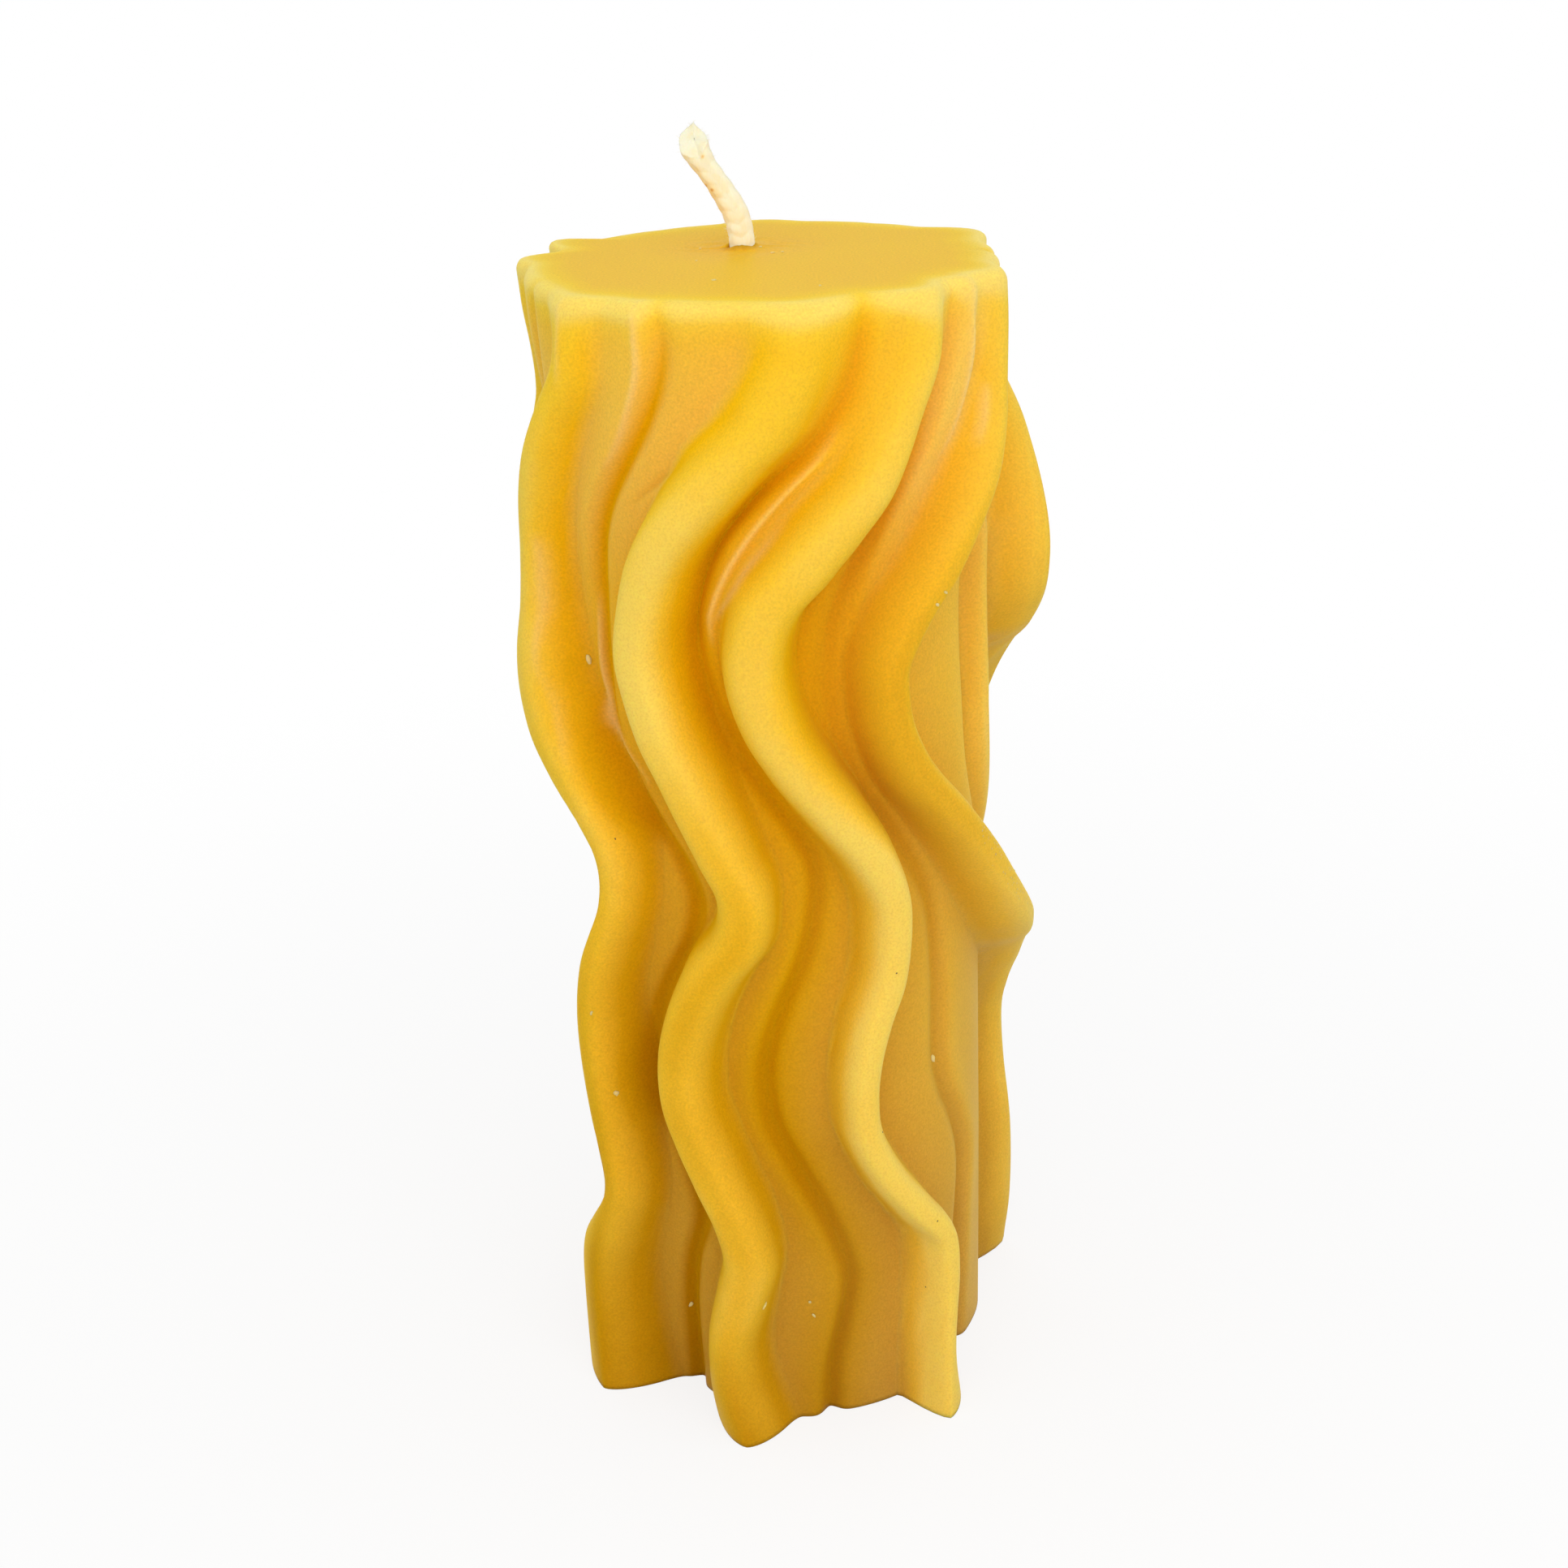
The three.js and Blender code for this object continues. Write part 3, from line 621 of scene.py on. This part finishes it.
# The top face is painted darker as shade, more so round the wick, with the rim's painted highlight.
top_tones = top_shade_tone - wick_shade * bell(away, wick_shade_width)
top_tones += rim_highlight * bell(inward, rim_highlight_width)
hole_tones = np.full((len(hole_wall), angles.shape[1]), hole_tone)
base_tones = np.full(base.shape[:2], base_tone)
lights_and_shades = np.concatenate([light_and_shade, top_tones, hole_tones, base_tones])

# A painted sheen, pale like a gloss reflection, lies on the bare floors between the fins, on the
# top face and, most of all, as painted highlights on the sharp little ridges. The floor of the
# deep front valley has none, and a thin, even painted sheen grows towards the candle's right side.
floor_sheen = [[0, 0.12], [60, 0.08], [75, 0.12], [84, 0.25], [96, 0.2], [100, 0]]
bare_within = 0.0015
amber_below = 0.3
clear_valley_width = 0.005
right_sheen = 0.13
right_sheen_reach = 0.03
ridge_sheen_share = 0.65
top_sheen = 0.07
bare = side_radius(angles, row_heights) - side_radius(angles, row_heights, folds=[])
bloom_and_sheen = at_height(floor_sheen, row_heights)[:, None] * np.clip(1 - bare / bare_within, 0, 1)
bloom_and_sheen *= np.clip(light_and_shade / amber_below, 0, 1)
apart = across(angles, front_valley["line"], row_heights, core_radius)
bloom_and_sheen *= 1 - bell(apart, clear_valley_width)
# A painted sheen on the candle's right side.
bloom_and_sheen += right_sheen * np.clip(side[..., 0] / right_sheen_reach, 0, 1)
# Painted highlights along the sharp little ridges.
for mark in fine_lines:
    if mark["bloom_and_sheen"]:
        apart = across(angles, mark["line"], row_heights, core_radius)
        rise = np.maximum(at_height(mark["rise"], row_heights), 0)[:, None]
        share = rise / max(bend[1] for bend in mark["rise"])
        bloom_and_sheen += mark["bloom_and_sheen"] * share * bell(apart, mark["width"] * ridge_sheen_share)
top_sheens = np.full(top_tones.shape, top_sheen)
inner_sheens = np.zeros((len(hole_wall) + base_rings, angles.shape[1]))
painted_sheens = np.concatenate([np.clip(bloom_and_sheen, 0, 1), top_sheens, inner_sheens])


def ring_mesh(name, rings, closed):
    """A mesh from rings of equally many points. Closed, its last ring meets its first."""
    count = rings.shape[1]
    rows = np.arange(len(rings) - (0 if closed else 1))
    row, column = np.meshgrid(rows, np.arange(count), indexing="ij")
    above = (row + 1) % len(rings) * count
    beside = (column + 1) % count
    row = row * count
    corners = [row + column, row + beside, above + beside, above + column]
    faces = np.stack(corners, axis=-1).reshape(-1, 4)
    mesh = bpy.data.meshes.new(name)
    mesh.from_pydata(rings.reshape(-1, 3).tolist(), [], faces.tolist())
    mesh.polygons.foreach_set("use_smooth", np.ones(len(faces), bool))
    mesh.validate()
    return mesh


def add_piece(name, mesh):
    """An object of the mesh, put in the scene."""
    piece = bpy.data.objects.new(name, mesh)
    bpy.context.scene.collection.objects.link(piece)
    return piece


def add_layer(piece, name, values):
    """Give each point of a piece a value, which its material reads by name."""
    layer = piece.data.attributes.new(name, "FLOAT", "POINT")
    layer.data.foreach_set("value", values.ravel().astype(np.float32))


wax_body = add_piece("wax", ring_mesh("wax", rings, closed=True))
add_layer(wax_body, "stand", lights_and_shades)
add_layer(wax_body, "bloom_and_sheen", painted_sheens)


class Finish:
    """A material whose nodes are added one at a time."""

    def __init__(self, name):
        self.material = bpy.data.materials.new(name)
        self.material.use_nodes = True
        self.tree = self.material.node_tree
        self.shader = self.tree.nodes["Principled BSDF"]

    def feed(self, socket, value):
        """Link a socket to another node's output, or give it a value of its own."""
        if isinstance(value, bpy.types.NodeSocket):
            self.tree.links.new(value, socket)
        else:
            socket.default_value = value

    def node(self, kind, values=None, **settings):
        """A new node with its settings and what its sockets are fed."""
        made = self.tree.nodes.new("ShaderNode" + kind)
        for key, value in settings.items():
            setattr(made, key, value)
        for key, value in (values or {}).items():
            self.feed(made.inputs[key], value)
        return made

    def set(self, **values):
        """Feed the shader's sockets, whose names have underscores for spaces here."""
        for key, value in values.items():
            self.feed(self.shader.inputs[key.replace("_", " ")], value)


# Beeswax is a deep, warm yellow that light goes some way into. Its skin is satin, with a fine
# sugary grain. Its colour also carries painted light and shade, and a painted sheen.
beeswax = Finish("beeswax")
place = beeswax.node("TexCoord").outputs["Object"]
stand = beeswax.node("Attribute", attribute_name="stand").outputs["Fac"]
bloom_and_sheen_share = beeswax.node("Attribute", attribute_name="bloom_and_sheen").outputs["Fac"]
height = beeswax.node("SeparateXYZ", {0: place}).outputs["Z"]
upward = beeswax.node("MapRange", {"Value": height, "From Max": candle_height})
cloud = beeswax.node("TexNoise", {"Vector": place, "Scale": 70, "Detail": 3})
grain = beeswax.node("TexNoise", {"Vector": place, "Scale": 3600, "Detail": 2})
uneven = beeswax.node("MapRange", {"Value": cloud.outputs["Fac"], "To Min": -0.12, "To Max": 0.12})
speckle = beeswax.node("MapRange", {"Value": grain.outputs["Fac"], "To Min": 0.78, "To Max": 1.22})
shade = beeswax.node("Math", {0: stand, 1: uneven.outputs["Result"]}, operation="ADD")
# Painted tones from the shaded hollows to the lit crests, each near the foot and near the top.
# The foot's tones are darker, as painted shade.
wax_tones = [
    (0.0, (0.44, 0.190, 0.001), (0.84, 0.42, 0.001)),
    (0.25, (0.49, 0.235, 0.001), (0.88, 0.475, 0.001)),
    (0.5, (0.57, 0.278, 0.004), (0.92, 0.525, 0.004)),
    (0.75, (0.78, 0.440, 0.024), (0.96, 0.59, 0.034)),
    (1.0, (0.98, 0.62, 0.088), (1.0, 0.68, 0.135)),
]
# Colour of the painted sheen, also the pale skin of the crumbs and chalk.
bloom_and_sheen_colour = (0.90, 0.62, 0.25, 1)
ramps = []
for end in (1, 2):
    ramp = beeswax.node("ValToRGB", {"Fac": shade.outputs[0]})
    stops = ramp.color_ramp.elements
    stops[1].position = 1.0
    for wax_tone in wax_tones[1:-1]:
        stops.new(wax_tone[0])
    for stop, wax_tone in zip(stops, wax_tones):
        stop.color = (*wax_tone[end], 1)
    ramps.append(ramp.outputs["Color"])
# Mixed from the foot's darker ramp up to the top's, a painted shade that grows towards the foot.
wax_colour = beeswax.node(
    "MixRGB", {"Fac": upward.outputs["Result"], "Color1": ramps[0], "Color2": ramps[1]}
)
with_bloom_and_sheen = beeswax.node(
    "MixRGB", {"Fac": bloom_and_sheen_share, "Color1": wax_colour.outputs["Color"], "Color2": bloom_and_sheen_colour}
)
grained = beeswax.node(
    "MixRGB", {"Fac": 1.0, "Color1": with_bloom_and_sheen.outputs["Color"], "Color2": speckle.outputs["Result"]},
    blend_type="MULTIPLY", use_clamp=True,
)
roughness = beeswax.node("MapRange", {"Value": shade.outputs[0], "To Min": 0.4, "To Max": 0.5})
bump = beeswax.node("Bump", {"Height": grain.outputs["Fac"], "Strength": 0.12, "Distance": 0.0001})
beeswax.set(
    Base_Color=grained.outputs["Color"],
    Roughness=roughness.outputs["Result"],
    Normal=bump.outputs["Normal"],
    Subsurface_Weight=1.0,
    Subsurface_Radius=(1.0, 0.8, 0.4),
    Subsurface_Scale=0.0006,
    IOR=1.45,
    Specular_IOR_Level=0.02,
)
wax_body.data.materials.append(beeswax.material)
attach(wax_body, "root")
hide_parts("wax_body")

# Wick. A square braid of cotton, drawn through the wax from the base and left to stand above
# it, soaked with wax and cut off aslant. Each of its faces has chevron stitches and a groove
# down the middle. wick_lean is how far to the right its middle lies at each height, and
# wick_sides is how wide it is there.
wick_straight_to = 0.147
wick_lean = [
    [0, wick_aside], [wick_straight_to, wick_aside], [0.151, -0.00235], [0.154, -0.00295],
    [0.1565, -0.00425], [0.1585, -0.0055], [0.1605, -0.0068], [0.1625, -0.0077], [0.1655, -0.0076],
]
wick_sides = [
    [0, 0.003], [0.15, 0.003], [0.154, 0.003], [0.1565, 0.0028], [0.1585, 0.0026], [0.16, 0.0027],
    [0.1611, 0.0031], [0.1625, 0.0034], [0.1638, 0.0027], [0.1655, 0.001],
]
wick_foot_z = 0.0003
wick_close_from = 0.1475
wick_end = 0.1629
cut_slant = 0.0021
cut_dome = 0.0002
cut_roughness = 0.00002
cut_shares = (0.93, 0.8, 0.62, 0.42, 0.2, 0.03)
stitch = 0.0016
stitch_slant = 0.5
stitch_relief = 0.0001
groove_depth = 1.4
groove_width = 0.2
wick_columns = 64
wick_rows_buried = 8
wick_rows = 150


def cut_rise(turn):
    """How high the slanting cut is at each turn round the wick, from -1 in front to 1 behind."""
    return 1 - 2 * np.abs((turn + math.pi / 2) % (2 * math.pi) - math.pi) / math.pi


def wick_points(z, turn, share=1.0, step=0.0002):
    """Points on the wick's skin, or at a share of the way out to it, at heights and turns."""
    size = at_height(wick_sides, z)
    middle = at_height(wick_lean, z)
    lean = (at_height(wick_lean, z + step) - at_height(wick_lean, z - step)) / (2 * step)
    on_face = 2 * (turn % (math.pi / 2)) / (math.pi / 2) - 1
    chevron = np.abs(np.sin(math.pi * (z / stitch + stitch_slant * np.abs(on_face))))
    groove = groove_depth * bell(on_face, groove_width)
    reach = share * (square_reach(turn, size) + stitch_relief * (chevron - groove))
    right = reach * np.cos(turn)
    behind = reach * np.sin(turn)
    tilt = np.hypot(1, lean)
    return np.stack([middle + right / tilt, wick_back + behind, z - right * lean / tilt], axis=-1)


wick_turns = 2 * math.pi * np.arange(wick_columns) / wick_columns
wick_tip = wick_end + cut_slant * cut_rise(wick_turns)
buried = np.linspace(wick_foot_z, wick_straight_to, wick_rows_buried)[:, None] * np.ones(wick_columns)
upward_share = np.linspace(0, 1, wick_rows)[:, None]
wick_z = np.concatenate([buried, wick_close_from + (wick_tip - wick_close_from) * upward_share])
wick_skin = wick_points(wick_z, np.broadcast_to(wick_turns, wick_z.shape))
cut_edge = wick_skin[-1]
cut_middle = cut_edge.mean(axis=0)
fray = np.random.default_rng(5)
cut_rings = []
for share in cut_shares:
    ring = cut_middle + (cut_edge - cut_middle) * share
    ring[:, 2] += cut_dome * (1 - share**3) + fray.normal(0, cut_roughness, wick_columns)
    cut_rings.append(ring)
foot_middle = wick_skin[0].mean(axis=0)
foot_ring = foot_middle + (wick_skin[0] - foot_middle) * cut_shares[-1]
wick_rings = np.concatenate([foot_ring[None], wick_skin, np.array(cut_rings)])
wick = add_piece("wick_braid", ring_mesh("wick_braid", wick_rings, closed=False))

# The braid is cream where it is dry. It is amber where it is soaked with wax: at its foot and
# in a few spots, each with its height and its turn round the wick. Along its lower left it is
# amber too, partly soaked wax and partly painted shade.
dry = 0.05
left_soak_and_shade = 0.6
left_soak_and_shade_z = 0.1575
left_soak_and_shade_reach = 0.0035
foot_soak = 0.5
foot_soak_z = 0.1497
foot_soak_reach = 0.0003
inner_soak = 0.5
spot_soak = 0.9
amber_spots = [[0.1609, -1.3], [0.1576, -2.2], [0.1583, -2.6]]
spot_size = 0.00016
skin_radius = 0.0012
left_share = np.clip(-np.cos(wick_turns), 0, 1)
# Along the lower left, soaked wax and painted shade.
soak_and_shade = dry + left_soak_and_shade * left_share * bell(wick_z - left_soak_and_shade_z, left_soak_and_shade_reach)
soak_and_shade += foot_soak * bell(wick_z - foot_soak_z, foot_soak_reach)
for spot_z, spot_turn in amber_spots:
    round_to_spot = (wick_turns - spot_turn % (2 * math.pi)) * skin_radius
    soak_and_shade += spot_soak * bell(np.hypot(wick_z - spot_z, round_to_spot), spot_size)
foot_row = np.full((1, wick_columns), inner_soak)
cut_rows = np.full((len(cut_rings), wick_columns), dry)
add_layer(wick, "soak_and_shade", np.concatenate([foot_row, soak_and_shade, cut_rows]))
cotton = Finish("cotton")
place = cotton.node("TexCoord").outputs["Object"]
soaked_and_shaded = cotton.node("Attribute", attribute_name="soak_and_shade").outputs["Fac"]
along = cotton.node("Mapping", {"Vector": place, "Scale": (1, 1, 0.25)}).outputs["Vector"]
yarn = cotton.node("TexNoise", {"Vector": along, "Scale": 5000, "Detail": 2})
patches = cotton.node("TexNoise", {"Vector": place, "Scale": 700, "Detail": 2})
uneven = cotton.node("MapRange", {"Value": patches.outputs["Fac"], "To Min": -0.4, "To Max": 0.35})
tint = cotton.node("Math", {0: soaked_and_shaded, 1: uneven.outputs["Result"]}, operation="ADD")
tint_ramp = cotton.node("ValToRGB", {"Fac": tint.outputs[0]})
stops = tint_ramp.color_ramp.elements
stops[0].color = (0.90, 0.88, 0.66, 1)
stops[1].color = (0.72, 0.40, 0.10, 1)
stops.new(0.5).color = (0.90, 0.72, 0.36, 1)
fibre_bump = cotton.node("Bump", {"Height": yarn.outputs["Fac"], "Strength": 0.7, "Distance": 0.0001})
cotton.set(
    Base_Color=tint_ramp.outputs["Color"],
    Roughness=0.85,
    Normal=fibre_bump.outputs["Normal"],
    Subsurface_Weight=0.4,
    Subsurface_Radius=(1.0, 0.8, 0.5),
    Subsurface_Scale=0.0004,
    Specular_IOR_Level=0.1,
    Sheen_Weight=0.2,
)
wick.data.materials.append(cotton.material)
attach(wick, "root")
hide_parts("wick")

# Loose fibres. Ends of the cotton, spun into the yarns of the braid, that stand off it all over
# and most of all at its cut, and bend over at their tips.
fibre_count = 260
fibre_thickness = 0.00003
fibre_taper = ((0, 1.0), (0.5, 0.8), (0.85, 0.5))
fibre_bend = 0.6
fibre_lengths = (0.0002, 0.0006)
fibre_root = 0.97
fibre_at_cut = 0.2
fibre_lowest = 0.1505
fibre_disorder = 0.5
fibre_upward = 0.5


def fibre(foot, along, length, bend):
    """A fibre as a thin, three-sided spike that bends over."""
    side = np.cross(along, bend)
    side /= np.linalg.norm(side)
    over = np.cross(side, along)
    points = []
    for share, thick in fibre_taper:
        middle = foot + length * (share * along + fibre_bend * share**2 * over)
        for turn in (0, 2 * math.pi / 3, 4 * math.pi / 3):
            round_middle = math.cos(turn) * side + math.sin(turn) * over
            points.append(middle + fibre_thickness / 2 * thick * round_middle)
    points.append(foot + length * (along + fibre_bend * over))
    return points


fibre_faces = [(2, 1, 0), (6, 7, 9), (7, 8, 9), (8, 6, 9)]
for low in (0, 3):
    for corner in range(3):
        beside = (corner + 1) % 3
        fibre_faces.append((low + corner, low + beside, low + 3 + beside, low + 3 + corner))
fuzz_points = []
fuzz_faces = []
for _ in range(fibre_count):
    turn = fray.uniform(0, 2 * math.pi)
    tip = wick_end + cut_slant * cut_rise(turn)
    z = tip if fray.random() < fibre_at_cut else fray.uniform(fibre_lowest, tip)
    foot = wick_points(np.array(z), np.array(turn), fibre_root)
    out = foot - wick_points(np.array(z), np.array(turn), fibre_root / 2)
    out = out / np.linalg.norm(out) + fray.normal(0, fibre_disorder, 3) + np.array([0, 0, fibre_upward])
    out /= np.linalg.norm(out)
    first = len(fuzz_points)
    fuzz_points.extend(fibre(foot, out, fray.uniform(*fibre_lengths), fray.normal(0, 1, 3)))
    fuzz_faces.extend(tuple(first + corner for corner in face) for face in fibre_faces)
fuzz_mesh = bpy.data.meshes.new("wick_fuzz")
fuzz_mesh.from_pydata([tuple(point) for point in fuzz_points], [], fuzz_faces)
fuzz = add_piece("wick_fuzz", fuzz_mesh)
fuzz.data.materials.append(cotton.material)
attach(fuzz, "root")

# Wax crumbs. Shavings of the wax, stuck to the sides and the top face where the candle was
# trimmed. Each is a small, pale, flattened lump, pressed halfway into the skin. Those on the
# sides have degrees and percent of the height, and those on the top face millimetres to the
# right of the axis and behind it.
crumbs = [
    [-49.9, 40.0], [-40.8, 8.4], [-9.1, 13.9], [2.4, 12.2], [3.4, 10.8], [47.5, 32.7],
    [36.5, 77.2], [34.3, 76.4], [-60.4, 69.7], [-46.5, 32.3], [160, 30], [215, 62], [250, 21],
]
top_crumbs = [
    [-7.5, 8.8], [-7.8, 0.2], [-0.1, 8.3], [1.4, 3.9], [2.6, 4.2], [-5.5, -13.2], [6.5, -19.2],
]
crumb_size = 0.0008
top_crumb_size = 0.0005
crumb_sizes = (0.5, 1.2)
lump_stretch = (0.7, 1.5)
lump_flatness = 0.45
lump_roughness = 0.13
litter = np.random.default_rng(11)


def on_the_wax(angle, height):
    """A point on the candle's side, and the way out from it."""
    spots = []
    for turn, up in ((0, 0), (0.4, 0), (0, 0.3)):
        angles = np.array([[angle + turn]])
        heights = np.array([height + up])
        z = candle_height * heights[:, None] / 100
        spots.append(ring_points(angles, side_radius(angles, heights), z)[0, 0])
    out = np.cross(spots[1] - spots[0], spots[2] - spots[0])
    return spots[0], out / np.linalg.norm(out)


def lumps(name, spots):
    """A piece of rough, flattened lumps, each at a place, with its way out and its size."""
    whole = bmesh.new()
    for place, out, size in spots:
        shape = bmesh.ops.create_icosphere(whole, subdivisions=2, radius=size / 2)["verts"]
        stretch = litter.uniform(*lump_stretch)
        outward = Vector(out).to_track_quat("Z", "Y").to_matrix()
        turned = outward @ Matrix.Rotation(litter.uniform(0, 6), 3, "Z")
        for vert in shape:
            rough = 1 + litter.normal(0, lump_roughness)
            flat = Vector((vert.co.x * stretch, vert.co.y / stretch, vert.co.z * lump_flatness))
            vert.co = Vector(place) + turned @ (flat * rough)
    mesh = bpy.data.meshes.new(name)
    whole.to_mesh(mesh)
    whole.free()
    piece = add_piece(name, mesh)
    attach(piece, "root")
    return piece


def make_pale(piece, bloom_and_sheen):
    """Give a piece the wax's own material at its palest tone, with a share of its pale colour."""
    count = len(piece.data.vertices)
    add_layer(piece, "stand", np.ones(count))
    add_layer(piece, "bloom_and_sheen", np.full(count, bloom_and_sheen))
    piece.data.materials.append(beeswax.material)


spots = []
for angle, height in crumbs:
    spots.append((*on_the_wax(angle, height), crumb_size * litter.uniform(*crumb_sizes)))
for right, behind in top_crumbs:
    place = (right / 1000, behind / 1000, candle_height)
    spots.append((place, (0, 0, 1), top_crumb_size * litter.uniform(*crumb_sizes)))
make_pale(lumps("wax_crumbs", spots), 1.0)

# Chalky grains. Dust of rubbed wax along the crest of the right fin, scattered to both sides of
# a line. Its grains stick to the skin.
chalk_line = [[44.9, 70.6], [48, 63], [51, 56.5], [54, 51], [56.8, 46.6]]
chalk_heights = (45, 56.8)
chalk_grains = 60
chalk_size = 0.00016
chalk_sizes = (0.5, 1.6)
chalk_scatter = 1.2
spots = []
for _ in range(chalk_grains):
    height = litter.uniform(*chalk_heights)
    angle = at_height(chalk_line, height) + litter.normal(0, chalk_scatter)
    spots.append((*on_the_wax(float(angle), height), chalk_size * litter.uniform(*chalk_sizes)))
make_pale(lumps("chalk", spots), 0.9)

# Dark specks. Bits of dark grit that were caught in the wax as it was poured, and show in its
# skin.
dark_specks = [[20.2, 30.8], [32.3, 21.1], [33, 13], [-40.9, 56.7], [23.2, 45.9], [190, 55]]
speck_size = 0.00022
specks = lumps("specks", [(*on_the_wax(angle, height), speck_size) for angle, height in dark_specks])
speck_finish = Finish("speck")
grit = speck_finish.node("TexNoise", {"Scale": 4000, "Detail": 1})
grit_tone = speck_finish.node("ValToRGB", {"Fac": grit.outputs["Fac"]})
grit_tone.color_ramp.elements[0].color = (0.05, 0.02, 0.005, 1)
grit_tone.color_ramp.elements[1].color = (0.22, 0.10, 0.02, 1)
speck_finish.set(Base_Color=grit_tone.outputs["Color"], Roughness=0.6)
specks.data.materials.append(speck_finish.material)

# Floor. A plain white surface that the candle stands on, with only its soft shadow on it. It
# gives little light back, so the foot of the candle is darker than its top. Away from the
# candle it passes into the white backdrop.
floor_half = 3
floor_mesh = bpy.data.meshes.new("floor")
corners = [
    (-floor_half, -floor_half, 0), (floor_half, -floor_half, 0),
    (floor_half, floor_half, 0), (-floor_half, floor_half, 0),
]
floor_mesh.from_pydata(corners, [], [(0, 1, 2, 3)])
floor = add_piece("floor", floor_mesh)
paper = Finish("white_floor")
path = paper.node("LightPath")
camera_or_gloss = paper.node(
    "Math", {0: path.outputs["Is Camera Ray"], 1: path.outputs["Is Glossy Ray"]}, operation="MAXIMUM"
)
seen = paper.node(
    "Math", {0: camera_or_gloss.outputs[0], 1: path.outputs["Is Transmission Ray"]}, operation="MAXIMUM"
)
paleness = paper.node("MapRange", {"Value": seen.outputs[0], "To Min": 0.55, "To Max": 0.9})
from_candle = paper.node("VectorMath", {0: paper.node("TexCoord").outputs["Object"]}, operation="LENGTH")
glow_share = paper.node(
    "MapRange",
    {
        "Value": from_candle.outputs["Value"],
        "From Min": 0.05,
        "From Max": 0.3,
        "To Min": 0.82,
        "To Max": 1.0,
    },
    interpolation_type="SMOOTHSTEP",
)
share_seen = paper.node("Math", {0: seen.outputs[0], 1: glow_share.outputs["Result"]}, operation="MULTIPLY")
glow = paper.node("Emission", {"Color": (1, 1, 1, 1), "Strength": 1.0})
mixed = paper.node("MixShader", {"Fac": share_seen.outputs[0]})
paper.set(Base_Color=paleness.outputs["Result"], Roughness=1.0, Specular_IOR_Level=0.0)
paper.tree.links.new(paper.shader.outputs["BSDF"], mixed.inputs[1])
paper.tree.links.new(glow.outputs["Emission"], mixed.inputs[2])
paper.tree.links.new(mixed.outputs["Shader"], paper.tree.nodes["Material Output"].inputs["Surface"])
floor.data.materials.append(paper.material)

# Light. A pale room all round, brightest at the level of the candle and darker overhead, and one
# broad soft lamp close in front of the candle.
room_sides = 1.03
room_overhead = 0.68
lamp_power = 0.65
lamp_side = 0.4
lamp_place = Vector((0.05, -0.34, 0.27))
lamp_aim = Vector((0, 0, 0.08))

world = bpy.data.worlds.new("room")
world.use_nodes = True
bpy.context.scene.world = world
nodes = world.node_tree.nodes
links = world.node_tree.links
backdrop = nodes["Background"]
backdrop.inputs["Color"].default_value = (1, 1, 1, 1)
direction = nodes.new("ShaderNodeTexCoord")
split = nodes.new("ShaderNodeSeparateXYZ")
level = nodes.new("ShaderNodeMapRange")
level.inputs["To Min"].default_value = room_sides
level.inputs["To Max"].default_value = room_overhead
path = nodes.new("ShaderNodeLightPath")
camera_or_gloss = nodes.new("ShaderNodeMath")
seen = nodes.new("ShaderNodeMath")
camera_or_gloss.operation = seen.operation = "MAXIMUM"
white_where_seen = nodes.new("ShaderNodeMapRange")
white_where_seen.inputs["To Max"].default_value = 1.0
links.new(direction.outputs["Generated"], split.inputs[0])
links.new(split.outputs["Z"], level.inputs["Value"])
links.new(path.outputs["Is Camera Ray"], camera_or_gloss.inputs[0])
links.new(path.outputs["Is Glossy Ray"], camera_or_gloss.inputs[1])
links.new(camera_or_gloss.outputs[0], seen.inputs[0])
links.new(path.outputs["Is Transmission Ray"], seen.inputs[1])
links.new(seen.outputs[0], white_where_seen.inputs["Value"])
links.new(level.outputs["Result"], white_where_seen.inputs["To Min"])
links.new(white_where_seen.outputs["Result"], backdrop.inputs["Strength"])

lamp_data = bpy.data.lights.new("lamp", "AREA")
lamp_data.shape = "SQUARE"
lamp_data.size = lamp_side
lamp_data.energy = lamp_power
lamp = bpy.data.objects.new("lamp", lamp_data)
lamp.location = lamp_place
lamp.rotation_euler = (lamp_aim - lamp_place).to_track_quat("-Z", "Y").to_euler()
bpy.context.scene.collection.objects.link(lamp)

bpy.context.scene.view_settings.view_transform = "Standard"
